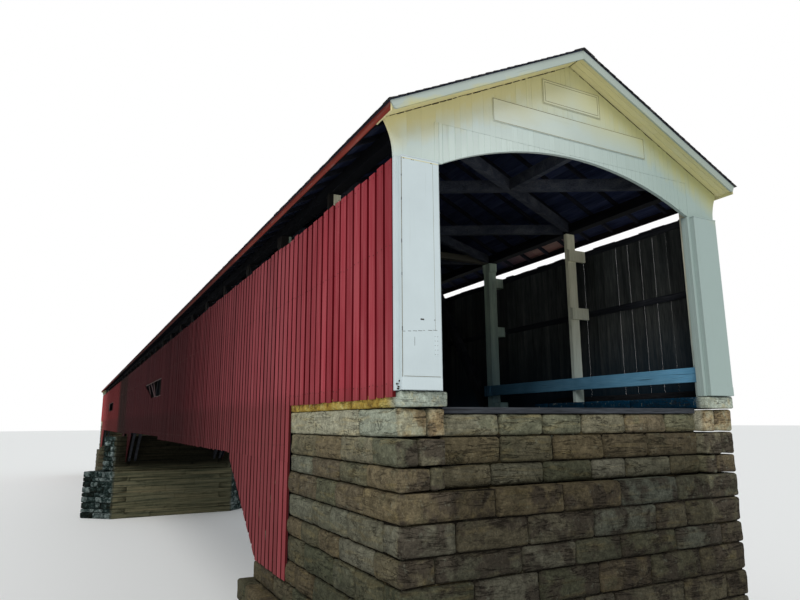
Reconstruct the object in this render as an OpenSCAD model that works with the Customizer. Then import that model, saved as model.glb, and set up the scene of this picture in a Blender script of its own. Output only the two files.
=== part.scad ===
// Two-span covered timber bridge on stone abutments and a river pier, as a 1:10 scale model.
// Millimetres of the model: 1 mm here is 1 cm of the real bridge.
// Origin at the bottom centre of the stonework, +Y along the bridge away from the front portal, +Z up.

/* [Length] */
// Truss panels in each span
panels = 12; // [8:2:14]
// Length of one truss panel
panel = 277; // [250:1:300]
// Length of the open stretch between a portal and the first truss post
open_len = 605; // [560:1:640]
// Distance of the single post in that stretch from the portal's face
bay_post_gap = 312; // [280:1:340]
// Distance over the pier between the last posts of the two spans
pier_gap = 142; // [136:1:170]

/* [Roadway] */
// Clear width of the portal opening
opening_w = 488; // [484:1:520]
// Height of the portal opening's sides above the capstones
spring_h = 300; // [280:1:330]
// Rise of the portal arch
portal_rise = 57; // [40:1:70]
// Thickness of the floor planks
plank_t = 8; // [5:1:12]
// Width of the floor between the capstones
road_w = 475; // [430:1:480]
// Joint between the floor and a capstone
road_gap = 2; // [1:0.5:4]

/* [Truss] */
// Clearance between the floor and the inner arch ribs
rib_gap = 2; // [1:0.5:5]
// Thickness of one arch rib
rib_t = 14; // [8:1:20]
// Depth of an arch rib
rib_d = 30; // [20:1:36]
// Height of the arch centre line at its ends
rib_foot_z = 370; // [350:1:400]
// Height of the arch centre line at mid-span
rib_crown_z = 900; // [860:1:908]
// Thickness of a truss post across the bridge
post_t = 22; // [20:1:40]
// Width of a truss post along the bridge
post_w = 22; // [16:1:32]
// Width along the bridge of the single post between a portal and the first truss post
bay_post_w = 8; // [6:1:16]
// Extra half width of a truss post at its foot and head
post_flare = 4; // [3:1:12]
// Length along the bridge of the cleat at the foot of the first truss post
cleat_len = 30; // [10:1:60]
// Height of that cleat
cleat_h = 26; // [10:1:40]
// Height of the widened foot and head of a truss post
flare_len = 20; // [12:1:30]
// Height of a shoulder's slope for each unit of its width
shoulder_slope = 0.8; // [0.5:0.1:1.5]
// Depth of a brace
brace_d = 22; // [16:1:26]
// Thickness of a brace across the bridge
brace_t = 16; // [10:1:20]
// Thickness of one leaf of the lower chord
chord_leaf = 8; // [6:1:9]
// Height of the lower chord
chord_h = 32; // [24:1:40]
// Gap between the lower chord's outer end and the wall behind the bridge seat
chord_end_gap = 24; // [10:1:30]
// Distance of the lower chord's other end from the middle of the pier
chord_pier_gap = 20; // [10:1:30]
// Width of the upper chord
top_chord_w = 20; // [20:1:24]
// Height of the upper chord
top_chord_h = 14; // [10:1:16]
// Height of the upper chord's underside above the springing of the portal arch
top_chord_rise = 57; // [50:1:60]
// Clearance of floor beams and wall blocks beside an arch rib
arch_gap = 1; // [0.5:0.5:3]

/* [Floor] */
// Depth of a floor beam
beam_h = 31; // [24:1:40]
// Width of a floor beam
beam_w = 18; // [12:1:24]
// Floor beams in each truss panel
beams_per_panel = 2; // [1:1:2]
// Height and width of a curb timber
curb_w = 11; // [8:1:14]
// Clearance between a curb timber and the arch ribs' side of the floor
curb_gap = 2; // [1:0.5:5]
// Depth of the guard plank
guard_h = 24; // [16:1:30]
// Height of the guard plank's lower edge above the capstones
guard_rise = 24; // [18:1:40]
// Thickness of the guard plank
guard_t = 5; // [3:1:8]
// Drop of the guard plank's end block below the plank
guard_step = 2; // [1:0.5:4]

/* [Ties and rafters] */
// Width of a tie beam
tie_w = 16; // [12:1:20]
// Height of a tie beam
tie_h = 15; // [12:1:18]
// Width of a level cross brace between the upper chords
cross_w = 10; // [8:1:16]
// Height of a level cross brace
cross_h = 20; // [12:1:22]
// Height of the cross braces' underside above that of the upper chords
cross_rise = 2; // [0:1:6]
// Width of the rafter plate
plate_w = 20; // [14:1:24]
// Width of the rafter's level seat on its plate
rafter_seat = 5; // [3:1:8]
// Depth of a rafter, measured upright
rafter_d = 8; // [6:1:14]
// Thickness of a rafter
rafter_t = 5; // [4:1:8]
// Largest distance between rafters
rafter_pitch = 68; // [55:1:90]

/* [Roof] */
// Height of the gable soffit's lower ends above the springing of the portal arch
soffit_rise = 50; // [46:1:60]
// Distance of those lower ends from the siding
soffit_over = 14.5; // [8:0.5:15]
// Roof pitch in degrees
pitch = 26.35; // [24:0.05:32]
// Thickness of the soffit boards, measured upright
soffit_t = 2; // [1.5:0.5:4]
// Distance of the rake board's face from the gable
rake_over = 32; // [24:1:40]
// Thickness of rake boards and eave boards
fascia_t = 3; // [2:0.5:5]
// Drop of the rake boards below the soffit
rake_drop = 4; // [2:0.5:8]
// Height of the eave boards
eave_h = 13; // [11:0.5:18]
// Distance of the eave boards' outer face from the siding
eave_over = 20.5; // [20:0.5:30]
// Thickness of the roof boards and shingles, measured upright
roof_t = 4.5; // [3:0.5:8]
// Overhang of the roof beyond eave boards and rake boards
drip = 3; // [1:0.5:6]
// Width of one wing of the ridge cap
ridge_w = 20; // [14:1:30]
// Thickness of the ridge cap
ridge_t = 1.5; // [1:0.5:3]

/* [Walls] */
// Thickness of the siding boards
siding_t = 3.5; // [2.5:0.5:6]
// Thickness of the nailing rails inside the siding
girt_t = 3; // [2:0.5:5]
// Distance of the nailing rails from the outer arch ribs
girt_gap = 8; // [2:1:14]
// Height of the nailing rails
girt_h = 12; // [8:1:16]
// Height of the middle nailing rail above the capstones
girt_rise = 183; // [176:1:200]
// Height of the lowest nailing rail above the lower chord's underside
low_girt_rise = 6; // [0:1:12]
// Height of the nailing rail over the capstones above the siding's edge there
wall_girt_rise = 8; // [4:1:16]
// Distance of the top nailing rail below the siding's top edge
top_girt_drop = 2; // [0:1:10]
// Extra height of the right wall's top edge, nailing rail and blocks
right_wall_lift = 22; // [0:1:26]
// Width of the blocks that hold the rails off the posts
block_w = 20; // [10:1:24]
// Thickness of the boards that do so in front of the single posts
outrigger_t = 6; // [4:1:10]
// Height of the blocks and boards behind the middle and the top nailing rail
block_h = 24; // [16:1:30]
// Height of the siding's lower edge along the spans
siding_foot_z = 525; // [512:1:535]
// Step up of that edge where one wall's boards are cut shorter
foot_step = 13; // [1:1:20]
// Lap of the siding over the capstones
siding_lap = 8; // [4:1:14]
// Height of the lowest point of the skirts over the arch ends
skirt_foot_z = 330; // [310:1:345]
// Slope of the skirts' lower edge in degrees
skirt_slope = 35; // [32:1:38]
// Distance of the skirts' lowest point from the abutment's river face
skirt_inset = 25; // [10:1:40]
// Height of the pier skirts' lowest point above that of the others
pier_skirt_rise = 18; // [0:1:40]
// Height of the window sills above the capstones
window_rise = 83; // [70:1:90]
// Height of the window openings
window_h = 78; // [60:1:80]
// Length of the window openings along the bridge
window_len = 680; // [500:1:800]
// Sill length of the window with the broken end
broken_sill_len = 330; // [200:1:400]

/* [Portal] */
// Thickness of the portal boards
portal_t = 6; // [4:1:8]
// Depth of the portal's inner lining
jamb_depth = 13; // [8:1:20]
// Thickness of the portal's inner lining
jamb_t = 4; // [2:0.5:6]
// Width of a boxed pilaster
pilaster_w = 55; // [40:1:58]
// Depth of a boxed pilaster
pilaster_d = 8.5; // [5:0.5:12]
// Width of the stiles beside a pilaster's panel
stile_w = 4; // [3:1:10]
// Recess of a pilaster's panel behind its stiles
panel_recess = 1; // [0.5:0.5:3]
// Height of a pilaster's base board
pilaster_base_h = 14.5; // [8:0.5:24]
// Height of a pilaster's crown
pilaster_crown_h = 6; // [4:0.5:10]
// Projection of the base board and the crown
pilaster_lip = 1; // [0.5:0.5:3]
// Thickness of the sign boards
sign_t = 2; // [1:0.5:4]
// Height of the long sign board
long_sign_h = 36; // [28:1:40]
// Height of the long sign board's lower edge above the springing of the portal arch
long_sign_rise = 84; // [76:1:92]
// Clearance of the long sign board's upper corners from the soffit, across the bridge
long_sign_margin = 31.5; // [20:0.5:60]
// Clearance of the small sign board's upper corners from the soffit, across the bridge
small_sign_margin = 14.5; // [8:0.5:30]
// Height of the small sign board
small_sign_h = 41; // [30:1:44]
// Gap between the two sign boards
sign_gap = 14; // [8:1:20]
// Width of the frame around the small sign board
sign_frame = 3; // [2:0.5:5]

/* [Stonework] */
// Height of the footing stage of pier and abutments
stage_h = 290; // [250:1:300]
// Height of the bridge seats
seat_z = 510; // [500:1:516]
// Height of the capstones' upper face
cap_z = 630; // [626:1:640]
// Thickness of the capstones
cap_t = 20; // [14:1:26]
// Projection of the capstones in front of the wings
cap_lip = 5; // [2:1:8]
// Length of an abutment along the bridge
abutment_len = 635; // [625:1:650]
// Length of the abutment's wings
wing_len = 416; // [380:1:440]
// Recess of the wall between the wings
wall_recess = 15; // [5:1:40]
// Width of the footing ledge around the stonework
ledge_w = 25; // [10:1:30]
// Thickness of the pier's upper stage along the bridge
pier_t = 260; // [240:1:280]
// Half length of the pier's straight sides
pier_half = 350; // [340:1:380]
// Reach of the pier's upper pointed ends from the middle
nose_half = 440; // [400:1:470]
// Reach of the footing stage's pointed ends from the middle
foot_nose_half = 550; // [500:1:600]
// Height of the bearing blocks under the lower chords
bearing_h = 30; // [20:1:36]
// Reach of a bearing block beyond the posts' faces
bearing_over = 5; // [0:1:10]
// Distance of a bearing block from the masonry's face
bearing_inset = 8; // [2:1:20]

/* [Hidden] */
$fn = 64;

// Places along the bridge
half_len = open_len + panels * panel + pier_gap / 2;
first_post_y = -half_len + open_len;
last_post_y = -pier_gap / 2;
mid_span_y = (first_post_y + last_post_y) / 2;
portal_back_y = -half_len + portal_t;
portal_post_y = portal_back_y + post_w / 2;
bay_post_y = -half_len + bay_post_gap;
wing_end_y = -half_len + wing_len;
river_face_y = -half_len + abutment_len;
chord_end_y = wing_end_y + chord_end_gap;
pier_face_y = -pier_t / 2;
truss_posts = [for (i = [0:panels]) first_post_y + i * panel];
near_posts = concat([portal_post_y, bay_post_y], truss_posts);

// Places across the bridge
clear_half = opening_w / 2;
rib_in = clear_half + rib_gap;
post_in = rib_in + rib_t;
truss_x = post_in + post_t / 2;
post_out = post_in + post_t;
rib_out = post_out + rib_t;
girt_x = rib_out + girt_gap;
siding_x = girt_x + girt_t;
wall_half = siding_x + siding_t;
cap_in = road_w / 2 + road_gap;
soffit_half = wall_half + soffit_over;
eave_half = wall_half + eave_over;
chord_in = truss_x - top_chord_w / 2;
chord_out = truss_x + top_chord_w / 2;

// Heights
spring_z = cap_z + spring_h;
chord_z = seat_z + bearing_h;
chord_top_z = chord_z + chord_h;
beam_top_z = chord_top_z + beam_h;
floor_z = beam_top_z + plank_t;
top_chord_z = spring_z + top_chord_rise;
top_chord_top_z = top_chord_z + top_chord_h;
cross_z = top_chord_z + cross_rise;
slope = tan(pitch);
soffit_end_z = spring_z + soffit_rise;
soffit_peak_z = soffit_end_z + slope * soffit_half;
rafter_peak_z = soffit_peak_z + soffit_t;
rake_peak_z = soffit_peak_z - rake_drop;
roof_peak_z = rafter_peak_z + rafter_d;
plate_seat_x = truss_x + plate_w / 2 - rafter_seat;
plate_top_z = rafter_peak_z - slope * plate_seat_x;
wall_foot_z = cap_z - siding_lap;
low_girt_z = chord_z + low_girt_rise;
wall_girt_z = wall_foot_z + wall_girt_rise;
mid_girt_z = cap_z + girt_rise - girt_h / 2;
mid_block_z = cap_z + girt_rise - block_h / 2;
top_girt_z = spring_z - top_girt_drop - girt_h;
top_block_z = top_girt_z + girt_h - block_h;

// Arch ribs: circular arcs between the masonry faces
arch_y = (river_face_y + pier_face_y) / 2;
arch_half = (pier_face_y - river_face_y) / 2;
arch_rise = rib_crown_z - rib_foot_z;
arch_r = (arch_half * arch_half + arch_rise * arch_rise) / (2 * arch_rise);
arch_centre_z = rib_crown_z - arch_r;

function roof_line(peak, x) = peak - slope * abs(x);
function arc_radius(half, rise) = (half * half + rise * rise) / (2 * rise);
function from_arch(y, z) = norm([abs(y) - abs(arch_y), z - arch_centre_z]) - arch_r;
// True where a box of this width between two heights would meet an arch rib
function meets_arch(y, w, z0, z1) =
  let (d = [for (a = [-w / 2, w / 2], z = [z0, z1]) from_arch(y + a, z)])
  min(d) < rib_d / 2 + arch_gap && max(d) > -rib_d / 2 - arch_gap;

stone = [0.66, 0.62, 0.48];
old_wood = [0.33, 0.29, 0.25];
post_wood = [0.56, 0.52, 0.45];
barn_red = [0.53, 0.16, 0.18];
portal_white = [0.86, 0.87, 0.84];
roofing = [0.14, 0.14, 0.15];

// Repeats a shape at the other end of the bridge
module both_ends() {
  children();
  mirror([0, 1, 0]) children();
}

// Repeats a shape on the other side of the bridge
module both_sides() {
  children();
  mirror([1, 0, 0]) children();
}

module left() mirror([1, 0, 0]) children();
module far() mirror([0, 1, 0]) children();

// A box from its lowest and highest corner
module box(a, b) translate(a) cube(b - a);

// Extrudes an outline drawn in Y and Z across the bridge from x0 to x1
module across(x0, x1) translate([x0, 0, 0]) rotate([90, 0, 90]) linear_extrude(x1 - x0) children();

// Extrudes an outline drawn in X and Z along the bridge from y0 to y1
module along(y0, y1) translate([0, y1, 0]) rotate([90, 0, 0]) linear_extrude(y1 - y0) children();

// A band that follows the roof slope on one side, from x0 to x1, between two heights at the ridge
module slope_band(x0, x1, low, high)
  polygon([
    [x0, roof_line(low, x0)], [x1, roof_line(low, x1)],
    [x1, roof_line(high, x1)], [x0, roof_line(high, x0)]
  ]);

// The same band on both sides, as one inverted V
module gable_band(half, low, high)
  polygon([
    [-half, roof_line(low, half)], [0, low], [half, roof_line(low, half)],
    [half, roof_line(high, half)], [0, high], [-half, roof_line(high, half)]
  ]);

// Stonework

module abutment() color(stone) {
  box([-siding_x - ledge_w, -half_len, 0], [siding_x + ledge_w, river_face_y + ledge_w, stage_h]);
  box([-siding_x, -half_len, stage_h], [siding_x, river_face_y, seat_z]);
  box([-cap_in, -half_len + wall_recess, seat_z], [cap_in, wing_end_y, beam_top_z]);
  both_sides() box([cap_in, -half_len, seat_z], [siding_x, wing_end_y, cap_z - cap_t]);
}

module capstones() color(stone)
  both_ends() both_sides()
    box([cap_in, -half_len - cap_lip, cap_z - cap_t], [siding_x, wing_end_y, cap_z]);

module pointed_plan(half, nose, t)
  polygon([[-half, -t / 2], [half, -t / 2], [nose, 0], [half, t / 2], [-half, t / 2], [-nose, 0]]);

module pier() color(stone) {
  linear_extrude(stage_h) pointed_plan(pier_half + ledge_w, foot_nose_half, pier_t + 2 * ledge_w);
  translate([0, 0, stage_h]) linear_extrude(seat_z - stage_h) pointed_plan(pier_half, nose_half, pier_t);
}

module bearing_blocks() color(old_wood)
  both_sides() {
    reach = pier_t / 2 - bearing_inset;
    both_ends()
      box([post_in - bearing_over, chord_end_y, seat_z],
          [post_out + bearing_over, river_face_y - bearing_inset, chord_z]);
    box([post_in - bearing_over, -reach, seat_z], [post_out + bearing_over, reach, chord_z]);
  }

// Trusses

module lower_chord() color(old_wood)
  both_ends()
    for (x = [post_in, post_out - chord_leaf])
      box([x, chord_end_y, chord_z], [x + chord_leaf, -chord_pier_gap, chord_top_z]);

// Outline of a truss post, with a wider foot and head that the braces bear on
module post_outline(y) {
  w = post_w / 2;
  f = w + post_flare;
  shoulder = post_flare * shoulder_slope;
  translate([y, 0])
    polygon([
      [-f, chord_top_z], [f, chord_top_z], [f, chord_top_z + flare_len],
      [w, chord_top_z + flare_len + shoulder], [w, top_chord_z - flare_len - shoulder],
      [f, top_chord_z - flare_len], [f, top_chord_z], [-f, top_chord_z],
      [-f, top_chord_z - flare_len], [-w, top_chord_z - flare_len - shoulder],
      [-w, chord_top_z + flare_len + shoulder], [-f, chord_top_z + flare_len]
    ]);
}

// A truss post with its tenon between the two leaves of the lower chord
module truss_post(y) {
  across(post_in, post_out) post_outline(y);
  box([post_in + chord_leaf, y - post_w / 2, chord_z], [post_out - chord_leaf, y + post_w / 2, chord_top_z]);
}

module posts() color(post_wood)
  both_ends() {
    for (y = truss_posts) truss_post(y);
    for (post = [[portal_post_y, post_w], [bay_post_y, bay_post_w]])
      box([post_in, post[0] - post[1] / 2, cap_z], [post_out, post[0] + post[1] / 2, top_chord_z]);
    foot_y = first_post_y - post_w / 2;
    box([post_in, foot_y - cleat_len, floor_z], [post_out, foot_y, floor_z + cleat_h]);
  }

// One brace, from the foot of the outer post up to the head of the inner post, cut to both posts
module brace_outline(outer, inner) {
  d = sign(inner - outer);
  foot = [outer + d * (post_w + post_flare) / 2, chord_top_z + flare_len];
  head = [inner - d * (post_w + post_flare) / 2, top_chord_z - flare_len];
  run = head - foot;
  difference() {
    intersection() {
      translate(foot) rotate(atan2(run[1], run[0])) translate([-panel, -brace_d / 2])
        square([norm(run) + 2 * panel, brace_d]);
      translate([min(outer, inner), chord_top_z]) square([panel, top_chord_z - chord_top_z]);
    }
    post_outline(outer);
    post_outline(inner);
  }
}

module braces() color(old_wood)
  both_ends() across(truss_x - brace_t / 2, truss_x + brace_t / 2)
    for (i = [0:panels - 1])
      brace_outline(truss_posts[i < panels / 2 ? i : i + 1], truss_posts[i < panels / 2 ? i + 1 : i]);

module arch_outline()
  intersection() {
    translate([arch_y, arch_centre_z]) difference() {
      circle(arch_r + rib_d / 2, $fn = 360);
      circle(arch_r - rib_d / 2, $fn = 360);
    }
    translate([river_face_y, 0]) square([2 * arch_half, rib_crown_z + rib_d]);
  }

// The two ribs of one arch, against the inner and outer faces of the posts
module arch() color(old_wood) {
  across(rib_in, post_in) arch_outline();
  across(post_out, rib_out) arch_outline();
}

// Floor

beam_ys = concat(
  [(chord_end_y + first_post_y - post_w / 2) / 2],
  [for (i = [0:panels - 1], k = [0:beams_per_panel - 1])
    first_post_y + (i + (k + 0.5) / beams_per_panel) * panel],
  [-(pier_gap / 2 - post_w / 2 + chord_pier_gap) / 2]
);

module floor_beams() color(old_wood)
  both_ends()
    for (y = beam_ys)
      if (!meets_arch(y, beam_w, chord_top_z, beam_top_z))
        box([-post_out, y - beam_w / 2, chord_top_z], [post_out, y + beam_w / 2, beam_top_z]);

module deck() color(old_wood) {
  box([-road_w / 2, -half_len + wall_recess, beam_top_z], [road_w / 2, half_len - wall_recess, floor_z]);
  box([-clear_half, wing_end_y, beam_top_z], [clear_half, -wing_end_y, floor_z]);
}

module curbs() color(old_wood)
  both_sides() {
    x = clear_half - curb_gap;
    box([x - curb_w, first_post_y, floor_z], [x, -first_post_y, floor_z + curb_w]);
  }

module guard_planks() color(portal_white)
  both_ends() both_sides() {
    box([post_in - guard_t, portal_post_y - post_w / 2, cap_z + guard_rise],
        [post_in, first_post_y + post_w / 2, cap_z + guard_rise + guard_h]);
    box([post_in - 2 * guard_t, first_post_y - post_w / 2, cap_z + guard_rise - guard_step],
        [post_in - guard_t, first_post_y + post_w / 2, cap_z + guard_rise + guard_h]);
  }

// Ties, cross braces and rafters

module upper_chords() color(old_wood)
  both_sides()
    box([chord_in, portal_back_y, top_chord_z], [chord_out, -portal_back_y, top_chord_top_z]);

// Two level bars that cross under the roof, between the upper chords' inner faces
module cross_brace(from, to, y0, y1) {
  a = atan2(to - from, 2 * truss_x);
  translate([0, 0, cross_z]) linear_extrude(cross_h) intersection() {
    translate([0, (from + to) / 2])
      for (s = [-1, 1])
        rotate(s * a) square([4 * truss_x, cross_w], center = true);
    translate([-chord_in, y0]) square([2 * chord_in, y1 - y0]);
  }
}

// The cross braces of all bays, and a strut from the first crossing to the gable
module cross_braces() color(old_wood)
  both_ends() {
    for (i = [0:len(near_posts) - 2]) {
      from = near_posts[i];
      to = near_posts[i + 1];
      cross_brace(from, to, max(from + tie_w / 2, portal_back_y), to - tie_w / 2);
    }
    box([-cross_w / 2, portal_back_y, cross_z],
        [cross_w / 2, (portal_post_y + bay_post_y) / 2, cross_z + cross_h]);
  }

module tie_beams() color(old_wood)
  both_ends()
    for (y = truss_posts)
      box([-chord_in, y - tie_w / 2, top_chord_z], [chord_in, y + tie_w / 2, top_chord_z + tie_h]);

module rafter_plates() color(old_wood)
  both_sides()
    box([truss_x - plate_w / 2, portal_back_y, top_chord_top_z],
        [truss_x + plate_w / 2, -portal_back_y, plate_top_z]);

fly_y = half_len + rake_over - fascia_t - rafter_t / 2;
rafter_count = ceil(2 * fly_y / rafter_pitch);

module rafters() color(old_wood)
  for (i = [0:rafter_count]) {
    y = -fly_y + 2 * fly_y * i / rafter_count;
    along(y - rafter_t / 2, y + rafter_t / 2) difference() {
      slope_band(0, eave_half - fascia_t, rafter_peak_z, roof_peak_z);
      translate([truss_x - plate_w / 2, 0]) square([plate_w, plate_top_z]);
    }
  }

// Roof

roof_end_y = half_len + rake_over + drip;

module roof() color(roofing)
  along(-roof_end_y, roof_end_y)
    slope_band(0, eave_half + drip, roof_peak_z, roof_peak_z + roof_t);

module ridge_cap() color(roofing)
  along(-roof_end_y, roof_end_y)
    gable_band(ridge_w, roof_peak_z + roof_t, roof_peak_z + roof_t + ridge_t);

module eave_boards() color(barn_red)
  both_sides()
    along(-half_len - rake_over + fascia_t, half_len + rake_over - fascia_t)
      polygon([
        [eave_half - fascia_t, roof_line(roof_peak_z, eave_half) - eave_h],
        [eave_half, roof_line(roof_peak_z, eave_half) - eave_h],
        [eave_half, roof_line(roof_peak_z, eave_half)],
        [eave_half - fascia_t, roof_line(roof_peak_z, eave_half - fascia_t)]
      ]);

module rake_boards() color(portal_white)
  along(-half_len - rake_over, -half_len - rake_over + fascia_t)
    gable_band(eave_half, rake_peak_z, roof_peak_z);

module soffit() color(portal_white)
  along(-half_len - rake_over + fascia_t, portal_back_y)
    gable_band(eave_half - fascia_t, soffit_peak_z, rafter_peak_z);

// Portal

// Gable wall: a low arch below, and sides that curve out from the wall to the soffit
module gable() color(portal_white)
  along(-half_len, portal_back_y) {
    flare_r = arc_radius(soffit_end_z - spring_z, soffit_half - wall_half);
    arch_r = arc_radius(clear_half, portal_rise);
    difference() {
      polygon([
        [-soffit_half, spring_z], [soffit_half, spring_z], [soffit_half, soffit_end_z],
        [0, soffit_peak_z], [-soffit_half, soffit_end_z]
      ]);
      translate([0, spring_z + portal_rise - arch_r]) circle(arch_r, $fn = 180);
      for (s = [-1, 1])
        translate([s * (wall_half + flare_r), spring_z]) circle(flare_r, $fn = 96);
    }
  }

// Corner boards of the portal: a flat board with a return into the bridge and a boxed pilaster
module pilasters() color(portal_white)
  both_sides() {
    mid = (clear_half + wall_half) / 2;
    front = -half_len - pilaster_d;
    box([clear_half, -half_len, cap_z], [wall_half, portal_back_y, spring_z]);
    box([clear_half, portal_back_y, cap_z],
        [clear_half + jamb_t, jamb_depth - half_len, spring_z]);
    w = pilaster_w / 2;
    l = pilaster_lip;
    difference() {
      box([mid - w, front, cap_z], [mid + w, -half_len, spring_z]);
      box([mid - w + stile_w, front - l, cap_z], [mid + w - stile_w, front + panel_recess, spring_z]);
    }
    box([mid - w - l, front - l, cap_z], [mid + w + l, -half_len, cap_z + pilaster_base_h]);
    box([mid - w - l, front - l, spring_z - pilaster_crown_h], [mid + w + l, -half_len, spring_z]);
  }

// Half width of a sign board whose upper corners keep a clearance from the soffit
function sign_half(top, margin) = (soffit_peak_z - top) / slope - margin;

module sign_boards() color(portal_white)
  both_ends() translate([0, -half_len - sign_t, 0]) {
    long_z = spring_z + long_sign_rise;
    small_z = long_z + long_sign_h + sign_gap;
    long = sign_half(long_z + long_sign_h, long_sign_margin);
    small = sign_half(small_z + small_sign_h, small_sign_margin);
    f = sign_frame;
    box([-long, 0, long_z], [long, sign_t, long_z + long_sign_h]);
    box([-small, 0, small_z], [small, sign_t, small_z + small_sign_h]);
    difference() {
      box([-small, -sign_t / 2, small_z], [small, 0, small_z + small_sign_h]);
      box([f - small, -sign_t, small_z + f], [small - f, sign_t, small_z + small_sign_h - f]);
    }
  }

// Walls

module girt_bar(y0, y1, z) box([girt_x, y0, z], [siding_x, y1, z + girt_h]);

// Nailing rails of one wall, the top one raised by a lift
module wall_girts(lift) {
  girt_bar(portal_back_y, -portal_back_y, mid_girt_z);
  girt_bar(portal_back_y, -portal_back_y, top_girt_z + lift);
  girt_bar(wing_end_y, -wing_end_y, low_girt_z);
  both_ends() girt_bar(portal_back_y, wing_end_y, wall_girt_z);
}

module girts() color(old_wood) {
  wall_girts(right_wall_lift);
  left() wall_girts(0);
}

// Blocks of one height between posts and rail, left out beside an arch rib
module block_row(ys, z, h)
  for (y = ys)
    if (!meets_arch(y, block_w, z, z + h))
      box([post_out, y - block_w / 2, z], [girt_x, y + block_w / 2, z + h]);

// A board across the near face of the single post, out to the rail
module outrigger(z) {
  y = bay_post_y - bay_post_w / 2;
  box([post_in, y - outrigger_t, z], [girt_x, y, z + block_h]);
}

module wall_blocks(lift)
  both_ends() {
    ys = concat([portal_post_y], truss_posts);
    block_row(truss_posts, low_girt_z, girt_h);
    block_row(ys, mid_block_z, block_h);
    block_row(ys, top_block_z + lift, block_h);
    outrigger(mid_block_z);
    outrigger(top_block_z + lift);
  }

module girt_blocks() color(post_wood) {
  wall_blocks(right_wall_lift);
  left() wall_blocks(0);
}

// Outline of one side's siding over one span, with a window that starts so far from mid-span
module siding_outline(start, window, sill, lift = 0)
  difference() {
    top = spring_z + lift;
    polygon([
      [portal_back_y, wall_foot_z], [wing_end_y, wall_foot_z], [wing_end_y, siding_foot_z],
      [0, siding_foot_z], [0, top], [portal_back_y, top]
    ]);
    translate([mid_span_y + start, cap_z + window_rise])
      polygon([[0, 0], [sill, 0], [window, window_h], [0, window_h]]);
  }

module siding(start, lift) color(barn_red)
  across(siding_x, wall_half) siding_outline(start, window_len, window_len, lift);

module near_siding(lift) siding(0, lift);
module far_siding(lift) far() siding(-window_len, lift);

// The wall whose window has a broken end, and whose boards are cut shorter towards the pier
module left_near_siding() color(barn_red)
  left() across(siding_x, wall_half) difference() {
    siding_outline(0, window_len, broken_sill_len);
    translate([mid_span_y, siding_foot_z]) square([pier_skirt_y - mid_span_y, foot_step]);
  }

// Siding that hangs down over the ends of the arches, cut along their slope
skirt_drop = siding_foot_z - skirt_foot_z;
pier_skirt_drop = skirt_drop - pier_skirt_rise;
pier_skirt_y = pier_face_y - pier_skirt_drop / tan(skirt_slope);

module skirt_outline() {
  toe = river_face_y - skirt_inset;
  polygon([
    [wing_end_y, siding_foot_z], [wing_end_y, skirt_foot_z],
    [toe, skirt_foot_z], [toe + skirt_drop / tan(skirt_slope), siding_foot_z]
  ]);
  polygon([
    [pier_face_y, siding_foot_z], [pier_face_y, siding_foot_z - pier_skirt_drop],
    [pier_skirt_y, siding_foot_z]
  ]);
}

module skirts() color(barn_red)
  both_ends() both_sides() across(siding_x, wall_half) skirt_outline();

abutment();  // near_abutment
far() abutment();  // far_abutment
capstones();
pier();
bearing_blocks();
left() lower_chord();  // left_lower_chord
lower_chord();  // right_lower_chord
floor_beams();
deck();
left() posts();  // left_posts
posts();  // right_posts
left() braces();  // left_braces
braces();  // right_braces
left() arch();  // near_left_arch
arch();  // near_right_arch
far() left() arch();  // far_left_arch
far() arch();  // far_right_arch
upper_chords();
tie_beams();
cross_braces();
rafter_plates();
left() rafters();  // left_rafters
rafters();  // right_rafters
left() roof();  // left_roof
roof();  // right_roof
ridge_cap();
eave_boards();
rake_boards();  // near_rake_boards
far() rake_boards();  // far_rake_boards
soffit();  // near_soffit
far() soffit();  // far_soffit
gable();  // near_gable
far() gable();  // far_gable
pilasters();  // near_pilasters
far() pilasters();  // far_pilasters
sign_boards();
girts();
girt_blocks();
left_near_siding();
left() far_siding(0);  // left_far_siding
near_siding(right_wall_lift);  // right_near_siding
far_siding(right_wall_lift);  // right_far_siding
skirts();
guard_planks();
curbs();
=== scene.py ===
"""Looks of a two-span covered timber bridge, a 1:10 model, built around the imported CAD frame."""

import math
import random

import bpy
import numpy as np
from mathutils import Matrix, Vector, noise


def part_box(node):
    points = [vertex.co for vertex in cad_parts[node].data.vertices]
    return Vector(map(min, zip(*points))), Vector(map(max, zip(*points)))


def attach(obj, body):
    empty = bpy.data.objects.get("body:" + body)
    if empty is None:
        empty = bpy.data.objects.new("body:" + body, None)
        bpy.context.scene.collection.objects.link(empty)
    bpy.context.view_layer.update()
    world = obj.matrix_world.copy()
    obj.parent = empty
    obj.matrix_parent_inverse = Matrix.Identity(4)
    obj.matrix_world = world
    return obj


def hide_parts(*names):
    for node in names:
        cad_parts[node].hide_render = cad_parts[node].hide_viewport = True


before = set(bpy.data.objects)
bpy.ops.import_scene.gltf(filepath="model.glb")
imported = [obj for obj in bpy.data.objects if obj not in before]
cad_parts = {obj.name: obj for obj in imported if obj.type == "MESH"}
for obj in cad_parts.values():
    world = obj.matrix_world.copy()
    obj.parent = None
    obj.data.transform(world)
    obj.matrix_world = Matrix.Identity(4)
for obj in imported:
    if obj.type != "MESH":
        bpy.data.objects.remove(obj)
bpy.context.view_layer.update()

MM = 0.001

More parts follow.
